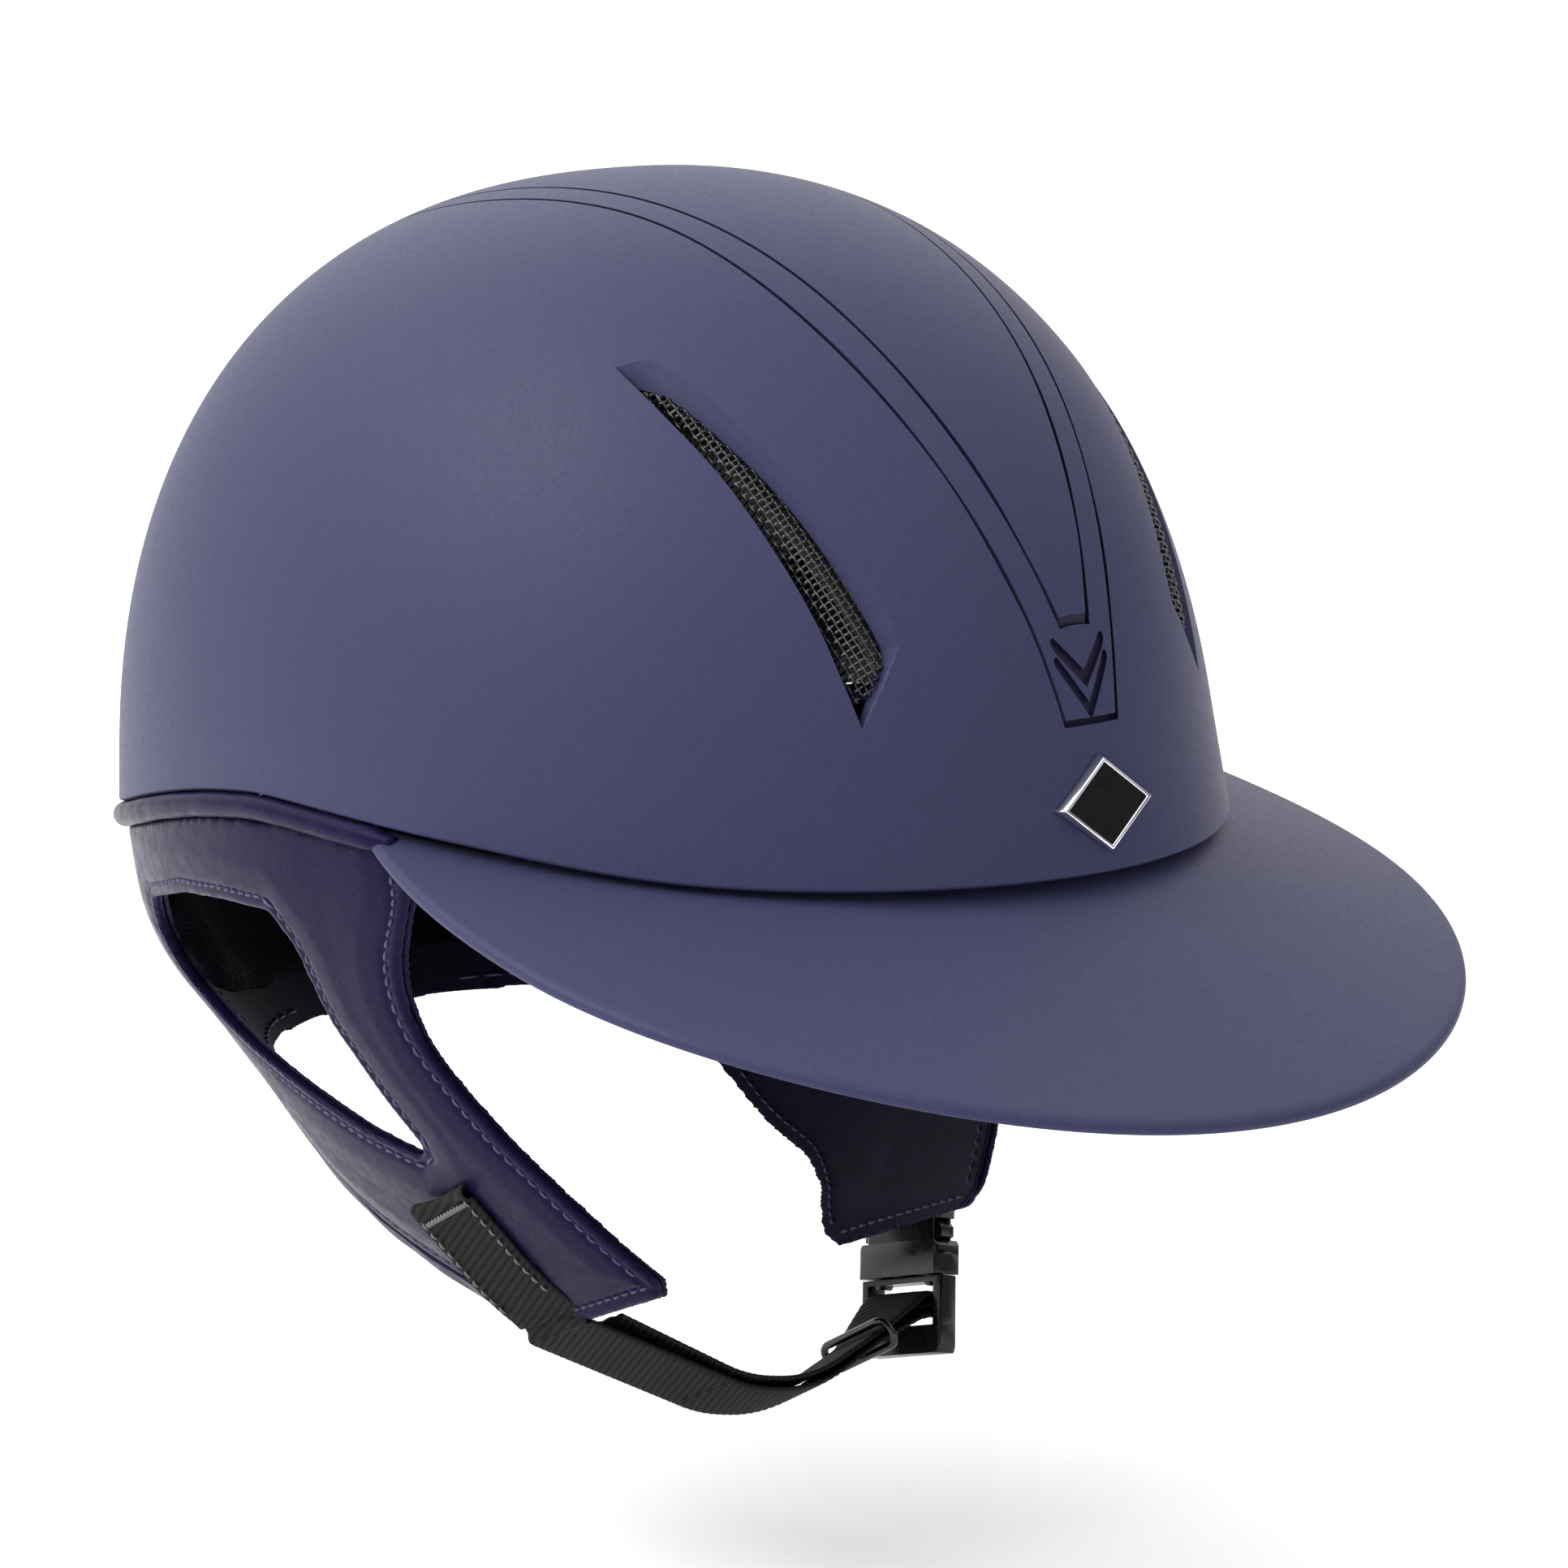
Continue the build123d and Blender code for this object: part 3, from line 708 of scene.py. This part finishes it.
def build_mesh_panel(material, side, node):
    """Plain-weave wire cloth, each wire passing over and under the ones it crosses."""
    runs = [wire_run((k + 0.5) * WIRE_PITCH, True, pi * (k % 2)) for k in range(-8, 14)]
    runs += [wire_run((k + 0.5) * WIRE_PITCH, False, pi * ((k + 1) % 2)) for k in range(-46, 34)]
    vertices, faces = join(sweep_round(run, WIRE_RADIUS, 6) for run in runs if run is not None)
    points = np.array(vertices) * (side, 1, 1)
    if side < 0:
        faces = [tuple(reversed(f)) for f in faces]
    piece = mesh_object(node.replace("vent_mesh", "vent_wire_cloth"), points, faces, material)
    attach(piece, "helmet")
    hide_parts(node)


# Brim -----------------------------------------------------------------------------------------

def brim_edge(angle):
    """Distance from the shell's axis to the brim's edge, along a ray at `angle` from the front."""
    dx, dy = np.sin(angle), -np.cos(angle)
    reach = np.zeros(len(angle))
    for length, front in ((BRIM_FRONT_REACH, True), (BRIM_REAR_REACH, False)):
        a = (dx / BRIM_HALF_WIDTH) ** 2 + (dy / length) ** 2
        b = -2 * dy * BRIM_CENTRE_Y / length ** 2
        c = (BRIM_CENTRE_Y / length) ** 2 - 1
        root = (-b + np.sqrt(b * b - 4 * a * c)) / (2 * a)
        right = (root * dy < BRIM_CENTRE_Y) == front
        reach = np.where(right, root, reach)
    return reach


def brim_root(angle):
    return 1 / np.sqrt((np.sin(angle) / BRIM_ROOT_X) ** 2 + (np.cos(angle) / BRIM_ROOT_Y) ** 2)


def brim_top(angle, radius):
    forward = np.clip(np.cos(angle), 0, 1)
    slope = 0.36 + 0.27 * forward ** 6
    return (-4.5 - 8.5 * forward) * MM - slope * (radius - brim_root(angle))


def build_brim(paint):
    """Visor with a rounded edge, swept round the front of the shell."""
    end = radians(76.2)
    angle = np.linspace(-end, end, 361)
    root, edge = brim_root(angle) - 3.5 * MM, np.maximum(brim_edge(angle), brim_root(angle) - 2 * MM)
    rows = []
    round_off = BRIM_THICKNESS / 2
    flat = edge - round_off
    for share in np.linspace(0, 1, 30):
        radius = root + (flat - root) * share
        rows.append((radius, brim_top(angle, radius)))
    for step in range(1, 8):
        turn = pi * step / 8
        radius = flat + round_off * sin(turn)
        rows.append((radius, brim_top(angle, radius) - round_off * (1 - cos(turn))))
    for share in np.linspace(1, 0, 30):
        radius = root + (flat - root) * share
        rows.append((radius, brim_top(angle, radius) - BRIM_THICKNESS))
    points = [np.stack([r * np.sin(angle), -r * np.cos(angle), z], axis=1) for r, z in rows]
    grid = np.stack(points, axis=1)
    brim = mesh_object("sun_brim", grid.reshape(-1, 3), tube_faces(len(angle), len(rows)), paint)
    flange = cad_copy("brim_flange", "brim", paint)
    keep_flange(flange)
    for piece in (brim, flange):
        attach(piece, "helmet")
    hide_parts("brim")


def keep_flange(piece):
    """Drops the plate from the brim's CAD mesh and keeps the flange that stands inside the shell."""
    cutter = dome_solid("keep", [2.9 * MM], piece.data.materials[0], 200)
    cut(piece, cutter, "INTERSECT")


# Harness --------------------------------------------------------------------------------------

def tip(points):
    """Harness frame to row frame."""
    return lean(points, HARNESS_TIP)


def untip(points):
    """Row frame to harness frame."""
    return lean(points, -HARNESS_TIP)


def yoke_edges():
    """Side-view edges of the yoke in the harness frame, in millimetres."""
    front = smooth_curve([(-31, -6), (-27, -28), (-14, -43), (-8.5, -58), (-13, -78), (-18.6, -96),
                          (-25, -119.5)])
    end = np.array([(-22, -123.5), (20, -129)], float)
    rear = smooth_curve([(25.5, -126), (38, -114), (60, -95.5), (72, -80), (85, -65), (104, -56),
                         (126, -51.5), (150, -50)])
    window = [(92, -24), (84, -17.5), (56, -18), (38, -21), (19, -25.5), (15.5, -34), (18, -52),
              (15, -70), (11.5, -82), (15, -84), (30, -76.5), (48, -66), (66, -56.5), (84, -47.5),
              (93, -38), (92, -24)]
    return front, resample(end, 2), rear, resample(window, 2)


def flare(piece):
    """Bends the foot of the left flap: its rear edge swings forward and out, and its end rises."""
    points = coordinates(piece.data)
    flat = untip(points)
    low = np.clip((-70 * MM - flat[:, 2]) / (35 * MM), 0, 1)
    high = np.clip((flat[:, 2] + 135 * MM) / (20 * MM), 0, 1)
    behind = np.clip((flat[:, 1] - 12 * MM) / (35 * MM), 0, 1)
    swing = low * high * behind
    rise = np.clip((-96 * MM - flat[:, 2]) / (28 * MM), 0, 1)
    move = np.column_stack([3 * swing, -9 * swing, 3 * rise]) * MM
    set_coordinates(piece.data, tip(flat + move))


def roll_edge():
    """Side-view rear edge of the lining, which rolls out past the leather."""
    return smooth_curve([(19, -129.6), (27, -130.6), (40, -122.5), (54, -110), (68, -96.5), (81, -77),
                         (90, -62), (96, -52)])


def distance_to(points, line):
    """Distance of plane points from a polyline."""
    best = np.full(len(points), 1e9)
    for a, b in zip(line, line[1:]):
        span = b - a
        share = np.clip(((points - a) @ span) / max(span @ span, 1e-12), 0, 1)
        best = np.minimum(best, np.linalg.norm(points - a - share[:, None] * span, axis=1))
    return best


def soften(piece, voxel, rounds):
    """Remesh to even voxels and relax, which rounds every edge."""
    remesh = piece.modifiers.new("remesh", "REMESH")
    remesh.mode = "VOXEL"
    remesh.voxel_size = voxel
    remesh.use_smooth_shade = True
    relax = piece.modifiers.new("relax", "SMOOTH")
    relax.factor = 0.5
    relax.iterations = rounds
    apply_modifiers(piece)


def build_yoke(side, body_material, lining_material, thread):
    """One half of the leather yoke, quilted between its stitch lines, with its lining."""
    label = "right" if side < 0 else "left"
    leather_piece = cad_copy("yoke_leather_" + label, "harness_" + label, body_material)
    soften(leather_piece, 0.8 * MM, 12)
    points = coordinates(leather_piece.data)
    normals = vertex_normals(leather_piece.data)
    flat = untip(points)[:, 1:] / MM
    edge = np.min([distance_to(flat, line[::2]) for line in yoke_edges()], axis=0)
    outward = np.sign((normals * points * (1, 1, 0)).sum(axis=1)) > 0
    groove = -0.45 * np.exp(-((edge - STITCH_INSET) / 0.8) ** 2)
    puff = 0.9 * np.clip((edge - STITCH_INSET) / 7, 0, 1) ** 0.7 * np.exp(-np.maximum(edge - 9, 0) / 25)
    shift = np.where(outward, groove + puff, 0) * MM
    set_coordinates(leather_piece.data, points + normals * shift[:, None])
    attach(leather_piece, "helmet")
    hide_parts("harness_" + label)
    lining = build_lining(label, body_material, lining_material, side < 0)
    outer_seam = build_stitches("yoke_stitches_" + label, stitch_rows(leather_piece, side, -1), thread)
    inner_seam = build_stitches("lining_stitches_" + label, stitch_rows(lining, side, 1), thread)
    if side > 0:
        for piece in (leather_piece, lining, outer_seam, inner_seam):
            flare(piece)
    return leather_piece


def build_lining(label, body_material, lining_material, rolled):
    """Suede inside; on the right it is turned out as a padded leather roll behind the jaw."""
    lining = cad_copy("yoke_suede_" + label, "lining_" + label, lining_material)
    soften(lining, 0.7 * MM, 4)
    points = coordinates(lining.data)
    normals = vertex_normals(lining.data)
    flat = untip(points)[:, 1:] / MM
    _, end, rear, _ = yoke_edges()
    seam = np.vstack([end, rear])
    beyond = np.interp(flat[:, 0], seam[:, 0], seam[:, 1]) - flat[:, 1]
    free = distance_to(flat, roll_edge())
    outward = np.clip((normals * points * (1, 1, 0)).sum(axis=1) / 0.03, -1, 1)
    swell = 2.0 * np.clip(beyond / 1.2, 0, 1) * np.clip(free / 2.4, 0.1, 1) ** 0.5
    swell = swell * rolled * (1 + 0.05 * np.sin(flat[:, 0] * 0.55))
    shift = np.where(outward > 0, swell, 0.5 * swell) * MM
    set_coordinates(lining.data, points + normals * shift[:, None])
    lining.data.materials.append(body_material)
    for face in lining.data.polygons:
        centre = np.array(face.center)
        if (np.array(face.normal) * centre * (1, 1, 0)).sum() > 0:
            face.material_index = 1
    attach(lining, "helmet")
    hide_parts("lining_" + label)
    return lining


def inset_line(line, amount):
    """Line moved to its left by `amount`, resampled evenly."""
    line = resample(line, 1.0)
    tangent = unit(np.gradient(line, axis=0))
    return line + np.stack([-tangent[:, 1], tangent[:, 0]], axis=1) * amount


def stitch_rows(piece, side, facing):
    """Stitch lines on the outer or inner face of a yoke half, as point pairs with normals."""
    edges = yoke_edges()
    lines = [inset_line(edge, STITCH_INSET) for edge in edges] + [inset_line(edges[-1], -STITCH_INSET)]
    tree = BVHTree.FromObject(piece, bpy.context.evaluated_depsgraph_get())
    found = []
    for line in lines:
        if facing > 0:
            line = line[line[:, 1] < -36]
        clear = np.min([distance_to(line, edge) for edge in edges], axis=0) > STITCH_INSET - 0.25
        for start in range(0, len(line) - 3, 3):
            if not clear[start:start + 3].all():
                continue
            ends = []
            for at in (line[start], 0.25 * line[start] + 0.75 * line[start + 3]):
                start_x = side * 0.2 if facing < 0 else 0.0
                spot = tip(np.array([start_x, at[0] * MM, at[1] * MM]))
                hit, normal, _, _ = tree.ray_cast(Vector(spot), Vector((side * facing, 0, 0)))
                if hit is not None:
                    ends.append((np.array(hit), np.array(normal)))
            if len(ends) == 2 and np.linalg.norm(ends[0][0] - ends[1][0]) < 6 * MM:
                found.append(ends)
    return found


def build_stitches(name, stitches, material, radius=THREAD_RADIUS):
    """Thread seen as short rounded beads that dive into the leather at both ends."""
    share = np.linspace(0, 1, 6)
    taper = 0.45 + 0.55 * np.sin(share * pi) ** 0.5
    lift = np.sin(share * pi)[:, None] * radius * 0.9 - radius * 0.35
    beads = []
    for (start, start_normal), (end, end_normal) in stitches:
        normal = (start_normal + end_normal) / 2
        path = start + (end - start) * share[:, None] + normal * lift
        beads.append(sweep_round(path, radius, 6, taper))
    piece = mesh_object(name, *join(beads), material)
    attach(piece, "helmet")
    return piece


def build_piping(material):
    """Leather roll round the back of the rim, with its ends tucked under the brim."""
    count = 320
    turn = np.linspace(radians(-14.2), radians(194.2), count)
    centre = dome_point(turn, rim_rise(turn, 1.4 * MM, -3.1 * MM), 1.4 * MM)
    from_end = np.minimum(np.arange(count), np.arange(count)[::-1])
    taper = np.clip(from_end / 4, 0.35, 1) ** 0.5
    wobble = 1 + 0.015 * np.sin(turn * 41) + 0.01 * np.sin(turn * 97)
    points, faces = sweep_round(centre, PIPING_RADIUS, 20, taper * wobble)
    piece = mesh_object("piping_roll", points, faces, material)
    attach(piece, "helmet")
    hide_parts("rear_piping")


# Webbing --------------------------------------------------------------------------------------

def ribbon(name, path, across, material, width=WEB_WIDTH, thickness=WEB_THICKNESS):
    """Grosgrain tape along a path: diagonal ribs on both faces and rounded selvedges."""
    path, across = np.array(path), np.array(across)
    tangent = unit(np.gradient(path, axis=0))
    across = unit(across - tangent * (across * tangent).sum(axis=1, keepdims=True))
    normal = np.cross(tangent, across)
    along = np.concatenate([[0], np.cumsum(np.linalg.norm(np.diff(path, axis=0), axis=1))])
    columns = 26
    spots = np.linspace(-1, 1, columns)
    rings, ribs = [], []
    for face in (1, -1):
        for spot in spots[::face]:
            depth = thickness / 2 * (1 - 0.45 * np.abs(spot) ** 12)
            rib = np.abs(np.sin(pi * (along / MM + face * 4.5 * spot) / RIB_PITCH))
            height = depth - 0.42 * MM * (1 - rib) * (1 if abs(spot) < 0.93 else 0.3)
            ribs.append(rib)
            rings.append(path + across * spot * width / 2 + normal * (face * height)[:, None])
    grid = np.stack(rings, axis=1)
    piece = mesh_object(name, grid.reshape(-1, 3), tube_faces(len(path), 2 * columns), material)
    # each point's rib crest value goes to the material, which paints shade into the grooves from it
    shade = piece.data.attributes.new("rib", "FLOAT", "POINT")
    shade.data.foreach_set("value", np.stack(ribs, axis=1).astype(np.float32).ravel())
    return piece


def buckle_point(x, z):
    """X and Z in the harness frame of a point in the buckle's own section."""
    return (BUCKLE_X + x * cos(BUCKLE_LEAN) + z * sin(BUCKLE_LEAN),
            BUCKLE_Z - x * sin(BUCKLE_LEAN) + z * cos(BUCKLE_LEAN))


def loop_route():
    """Centre line of the chin loop in X and Z of the harness frame."""
    wrap = PLUG_BAR[1] + 0.15 * MM + WEB_THICKNESS / 2
    lower, upper = PLUG_BAR[0] - wrap, PLUG_BAR[0] + wrap
    sewn_side = np.array([(-51.4, -127.2), (-6, -152.6), (13, -157.2)]) * MM
    return_side = np.array([(13, -154.4), (-6, -150.2), (-39.8, -129.1)]) * MM
    before, apart = -3.4 * MM, 0.9 * MM
    buckle_side = [(KEEPER_X, KEEPER_Z - apart), buckle_point(before, lower), buckle_point(wrap, lower),
                   buckle_point(wrap, upper), buckle_point(before, upper), (KEEPER_X, KEEPER_Z + apart)]
    radii = np.array([40, 40, 20, 4, 2.3, 2.3, 4, 20, 40, 40]) * MM
    return rounded_route([*sewn_side, *buckle_side, *return_side], radii, 0.3 * MM)


def level(route):
    """Route in the X and Z of the harness frame as row-frame points at the webbing's middle."""
    return tip(np.column_stack([route[:, 0], np.full(len(route), WEB_Y), route[:, 1]]))


def web_across(points):
    """Direction of the webbing's width: its rear edge hangs low, and it levels out at the buckle."""
    share = np.clip((points[:, 0] - KEEPER_X) / (12 * MM), 0, 1)
    twist = WEB_TWIST * (1 - share)
    return tip(np.column_stack([np.zeros(len(points)), np.cos(twist), -np.sin(twist)]))


def flap_run(yoke):
    """Centre line of the webbing sewn to the right flap, top to bottom, and its lie on the leather."""
    tree = BVHTree.FromObject(yoke, bpy.context.evaluated_depsgraph_get())
    centres, normals = [], []
    for share in np.linspace(0, 1, 110):
        spot = tip(np.array([-0.2, (13.8 - 2.0 * share) * MM, (-94 - 31 * share) * MM]))
        hit, normal, _, _ = tree.ray_cast(Vector(spot), Vector((1, 0, 0)))
        if hit is not None:
            centres.append(np.array(hit))
            normals.append(np.array(normal))
    return smooth_rows(np.array(centres), 30), smooth_rows(np.array(normals), 60)


def folded_run(centres, normals, across):
    """Under layer, fold and upper layer of the sewn webbing, and the upper layer on its own."""
    count = 66
    skew = 3.0 * np.clip(np.arange(count) / 34, 0, 1)[:, None] ** 0.8
    under = centres[:count] + (normals[:count] * 0.8 - across[:count] * skew) * MM
    fade = np.clip((len(centres) - np.arange(len(centres))) / 45, 0, 1)[:, None] ** 0.5
    over = centres + normals * (0.9 + 1.6 * fade) * MM
    turn = np.linspace(0, pi, 9)[1:-1, None]
    up = unit(centres[0] - centres[3])
    middle = (under[0] + over[0]) / 2
    fold = middle + (under[0] - middle) * np.cos(turn) + up * np.sin(turn) * 0.9 * MM
    return np.vstack([under[::-1], fold, over]), over


def build_webbing(material, thread, yoke_right):
    """Chin webbing: sewn run, loop in three pieces, and left tab."""
    loop = loop_route()
    half = len(loop) // 2
    middle = np.argmin(np.abs(loop[:half, 0] - LOOP_SPLIT_X))
    upper = half + np.argmin(np.abs(loop[half:, 0] - LOOP_SPLIT_X))
    centres, normals = flap_run(yoke_right)
    across = web_across(centres)
    folded, over = folded_run(centres, normals, across)
    whole = resample(np.vstack([folded, level(loop[:middle + 1])[8:]]), 0.3 * MM)
    whole = smooth_rows(whole, 2)
    start = ribbon("webbing_flap_run", whole, web_across(whole), material)
    body = level(loop[middle:upper + 1])
    middle_piece = ribbon("webbing_chin_loop", body, web_across(body), material)
    tail = level(loop[upper:])
    end_piece = ribbon("webbing_return", tail, web_across(tail), material)
    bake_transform(start)
    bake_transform(end_piece)
    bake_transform(middle_piece)
    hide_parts("webbing_loop")
    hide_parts("webbing_sewn_run")
    build_stitches("webbing_stitches", web_stitches(over, across, normals), thread, 0.3 * MM)
    tab = build_tab(material)


def web_stitches(centres, across, normals):
    """Bar tack at the folded top of the sewn webbing and a row down each edge."""
    lift = normals * 0.85 * MM
    found = []
    for offset in (-8.2, 8.2):
        line = resample(centres[4:90] + lift[4:90] + across[4:90] * offset * MM, 1.0 * MM)
        for start in range(0, len(line) - 3, 3):
            found.append(((line[start], normals[20]), (line[start + 2], normals[20])))
    for k in range(24):
        row = 5 + 4 * (k % 2)
        ends = []
        for at, side in ((row, -7.6 + 0.63 * k), (14 - row, -7.1 + 0.63 * k)):
            ends.append((centres[at] + lift[at] + across[at] * side * MM, normals[at]))
        found.append(ends)
    return found


def build_keeper(material):
    """Wire loop round both layers of the webbing, square to them."""
    half_width, half_height, corner = 12 * MM, 3.2 * MM, 2.8 * MM
    path = []
    for across_sign, up_sign, first in ((1, 1, 0), (-1, 1, 90), (-1, -1, 180), (1, -1, 270)):
        for step in range(9):
            angle = radians(first + 90 * step / 8)
            path.append((across_sign * (half_width - corner) + corner * cos(angle),
                         up_sign * (half_height - corner) + corner * sin(angle)))
    path = resample(np.array(path + path[:1]), 0.5 * MM)[:-1]
    slope = radians(20)
    wide = np.array([0, cos(WEB_TWIST), -sin(WEB_TWIST)])
    along = np.array([cos(slope), 0, sin(slope)])
    high = unit(np.cross(along, wide))
    centre = np.array([KEEPER_X, WEB_Y, KEEPER_Z])
    points = tip(centre + path[:, :1] * wide + path[:, 1:] * high)
    ring, faces = sweep_round(points, KEEPER_WIRE, 16, closed=True)
    piece = mesh_object("keeper_wire", ring, faces, material)
    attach(piece, "keeper")
    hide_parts("strap_keeper")


def build_tab(material):
    """Short webbing from the left flap, folded round the bar of the buckle's socket."""
    top_x, top_z = (value / MM for value in buckle_point(0, SOCKET_BAR[0]))
    fold = (SOCKET_BAR[1] + WEB_THICKNESS / 2) / MM + 0.15
    points = [(71.6, -98), (64.3, -108.6), (top_x - fold - 0.4, top_z + 1),
              (top_x - fold + 0.2, top_z - fold), (top_x + fold, top_z - fold),
              (top_x + fold, top_z + 2), (66.6, -109), (73.4, -99.2)]
    radii = np.array([9, 2, 2.2, 2.2, 4, 9]) * MM
    route = level(rounded_route(np.array(points) * MM, radii, 0.3 * MM))
    tab = ribbon("webbing_buckle_tab", route, web_across(route), material)
    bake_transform(tab)
    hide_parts("webbing_tab")
    return tab


# Pads -----------------------------------------------------------------------------------------

def inflate(piece, pressure=4.0, limit=0.003):
    """Short pressure simulation of a stuffed cover; movement is capped and the result applied."""
    start = coordinates(piece.data)
    cloth = piece.modifiers.new("cloth", "CLOTH")
    cloth.settings.use_pressure = True
    cloth.settings.uniform_pressure_force = pressure
    cloth.settings.quality = 4
    cloth.settings.effector_weights.gravity = 0
    scene = bpy.context.scene
    for step in range(1, 21):
        scene.frame_set(step)
    apply_modifiers(piece)
    moved = coordinates(piece.data) - start
    size = np.linalg.norm(moved, axis=1, keepdims=True)
    set_coordinates(piece.data, start + moved * np.minimum(1, limit / np.maximum(size, 1e-9)))
    scene.frame_set(1)


def build_pad(name, node, material, voxel):
    pad = cad_copy(name, node, material)
    soften(pad, voxel, 6)
    inflate(pad)
    subdivide = pad.modifiers.new("fine", "SUBSURF")
    subdivide.levels = subdivide.render_levels = 1
    apply_modifiers(pad)
    pad.data.shade_smooth()
    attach(pad, "helmet")
    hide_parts(node)


# Hard details ---------------------------------------------------------------------------------

def finish_node(node, material, bevel=0.0):
    """Paints a CAD node, shades it smooth and, when a bevel is given, softens its edges with a modifier."""
    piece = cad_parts[node]
    paint_node(node, material)
    piece.data.shade_smooth()
    if bevel:
        weld = piece.modifiers.new("weld", "WELD")
        weld.merge_threshold = 1e-6
        edge = piece.modifiers.new("edges", "BEVEL")
        edge.width = bevel
        edge.segments = 2
        edge.limit_method = "ANGLE"
        edge.angle_limit = radians(38)
        edge.harden_normals = True


# Stage ----------------------------------------------------------------------------------------

def aim(name, data, place, direction):
    """New light or camera at a place, looking along a direction."""
    piece = bpy.data.objects.new(name, data)
    piece.location = place
    piece.rotation_mode = "QUATERNION"
    piece.rotation_quaternion = direction.to_track_quat("-Z", "Y")
    bpy.context.scene.collection.objects.link(piece)
    return piece


def area_light(name, place, size, power):
    """Round light aimed at the origin."""
    light = bpy.data.lights.new(name, "AREA")
    light.shape = "DISK"
    light.size = size
    light.energy = power
    aim(name, light, place, -Vector(place))


def studio_world():
    """White backdrop behind the helmet and a soft ceiling above it; the camera's side is dim."""
    look = Look(bpy.data.worlds.new("studio"), "Background")
    facing = look.node("TexCoord").outputs["Generated"]
    backdrop = ((0.2, 0.98, 0), -0.1, 0.75, 1.0)
    ceiling = ((0, 0, 1), 0.15, 0.8, 1.5)
    parts = []
    for direction, start, end, strength in (backdrop, ceiling):
        dot = look.node("VectorMath")
        dot.operation = "DOT_PRODUCT"
        dot.inputs[1].default_value = direction
        look.links.new(facing, dot.inputs[0])
        parts.append(look.spread(dot.outputs["Value"], 0.07, strength, start, end, "SMOOTHSTEP"))
    look.links.new(look.total(parts), look.shader.inputs["Strength"])
    set_inputs(look.shader, Color=(1, 1, 1, 1))
    return look.owner


def build_stage():
    scene = bpy.context.scene
    scene.world = studio_world()
    scene.view_settings.view_transform = "Standard"
    look = Look(bpy.data.materials.new("pale_floor"))
    look.tint(look.noise(3), (0.3, 0.7), ([0.93] * 3, [0.95] * 3))
    set_inputs(look.shader, Roughness=0.9)
    corners = [(x * FLOOR_SIZE, y * FLOOR_SIZE, FLOOR_Z) for x, y in ((-1, -1), (1, -1), (1, 1), (-1, 1))]
    floor = mesh_object("floor", corners, [(0, 1, 2, 3)], look.owner, smooth=False)
    area_light("key", (-1.6, 0.45, 1.5), 1.5, 40)
    area_light("fill", (-0.2, -1.9, 1.6), 1.6, 3)


def build_camera():
    data = bpy.data.cameras.new("camera")
    data.sensor_width = 36
    data.lens = CAMERA_LENS
    level_out = cos(CAMERA_ELEVATION)
    back = Vector((sin(CAMERA_AZIMUTH) * level_out, -cos(CAMERA_AZIMUTH) * level_out, sin(CAMERA_ELEVATION)))
    bpy.context.scene.camera = aim("camera", data, CAMERA_TARGET + back * CAMERA_DISTANCE, -back)


def build_all():
    indigo = soft_touch("indigo_soft_touch", (0.031, 0.031, 0.078))
    # the trim backing's own dark colour, also used as painted shade in the groove round the trim
    dark_indigo = soft_touch("indigo_backing_and_groove_shade", (0.006, 0.005, 0.02))
    hide = leather("indigo_leather", (0.008, 0.0055, 0.025), 0.36)
    lining = suede("indigo_suede", (0.008, 0.0045, 0.024))
    thread = moulded("indigo_thread", (0.035, 0.028, 0.085), 0.5)
    pale_thread = moulded("grey_thread", (0.12, 0.12, 0.12), 0.5)
    tape = grosgrain("black_grosgrain", (0.009, 0.01, 0.008))
    plastic = moulded("black_acetal", (0.005, 0.005, 0.0055), 0.27, specular=0.35)
    wire = moulded("dark_steel_wire", (0.05, 0.05, 0.055), 0.2, metallic=1.0)
    cloth_wire = moulded("bright_wire_cloth", (0.065, 0.065, 0.06), 0.3, metallic=1.0)
    chrome = moulded("bright_chrome", (0.78, 0.78, 0.8), 0.12, metallic=1.0)
    enamel = moulded("black_enamel", (0.003, 0.003, 0.004), 0.3, specular=0.12)
    steel = moulded("plain_steel", (0.45, 0.45, 0.46), 0.3, metallic=1.0)
    beads = foam("black_foam", (0.008, 0.008, 0.009))
    fabric = knit("pad_fabric", (0.002, 0.0018, 0.005))
    loops = suede("hook_and_loop", (0.012, 0.012, 0.013), 900)
    build_shell(indigo, dark_indigo)
    build_mesh_panel(cloth_wire, 1, "vent_mesh_right")
    build_mesh_panel(cloth_wire, -1, "vent_mesh_left")
    build_brim(indigo)
    build_piping(hide)
    yokes = [build_yoke(side, hide, lining, thread) for side in (-1, 1)]
    build_webbing(tape, pale_thread, yokes[0])
    build_keeper(wire)
    build_pad("headband_cushion", "headband_pad", fabric, 4 * MM)
    build_pad("crown_cushion", "crown_pad", fabric, 4 * MM)
    build_pad("nape_cushion", "nape_pad", fabric, 4 * MM)
    finish_node("badge_bezel", chrome, 0.25 * MM)
    finish_node("badge_plate", enamel)
    finish_node("impact_liner", beads)
    finish_node("hook_loop_dots", loops)
    finish_node("yoke_anchor_tabs", tape)
    finish_node("yoke_rivets", steel)
    finish_node("brim_screws", steel)
    for node in ("buckle_socket", "buckle_plug", "prong_front", "prong_rear"):
        finish_node(node, plastic, 0.35 * MM)
    build_stage()
    build_camera()


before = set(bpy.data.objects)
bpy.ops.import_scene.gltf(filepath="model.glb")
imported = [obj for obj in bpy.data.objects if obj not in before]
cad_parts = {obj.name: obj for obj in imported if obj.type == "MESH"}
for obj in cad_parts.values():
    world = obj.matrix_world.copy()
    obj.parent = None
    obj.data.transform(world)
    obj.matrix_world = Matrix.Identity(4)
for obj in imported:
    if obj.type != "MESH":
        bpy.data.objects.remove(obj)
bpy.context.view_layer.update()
build_all()
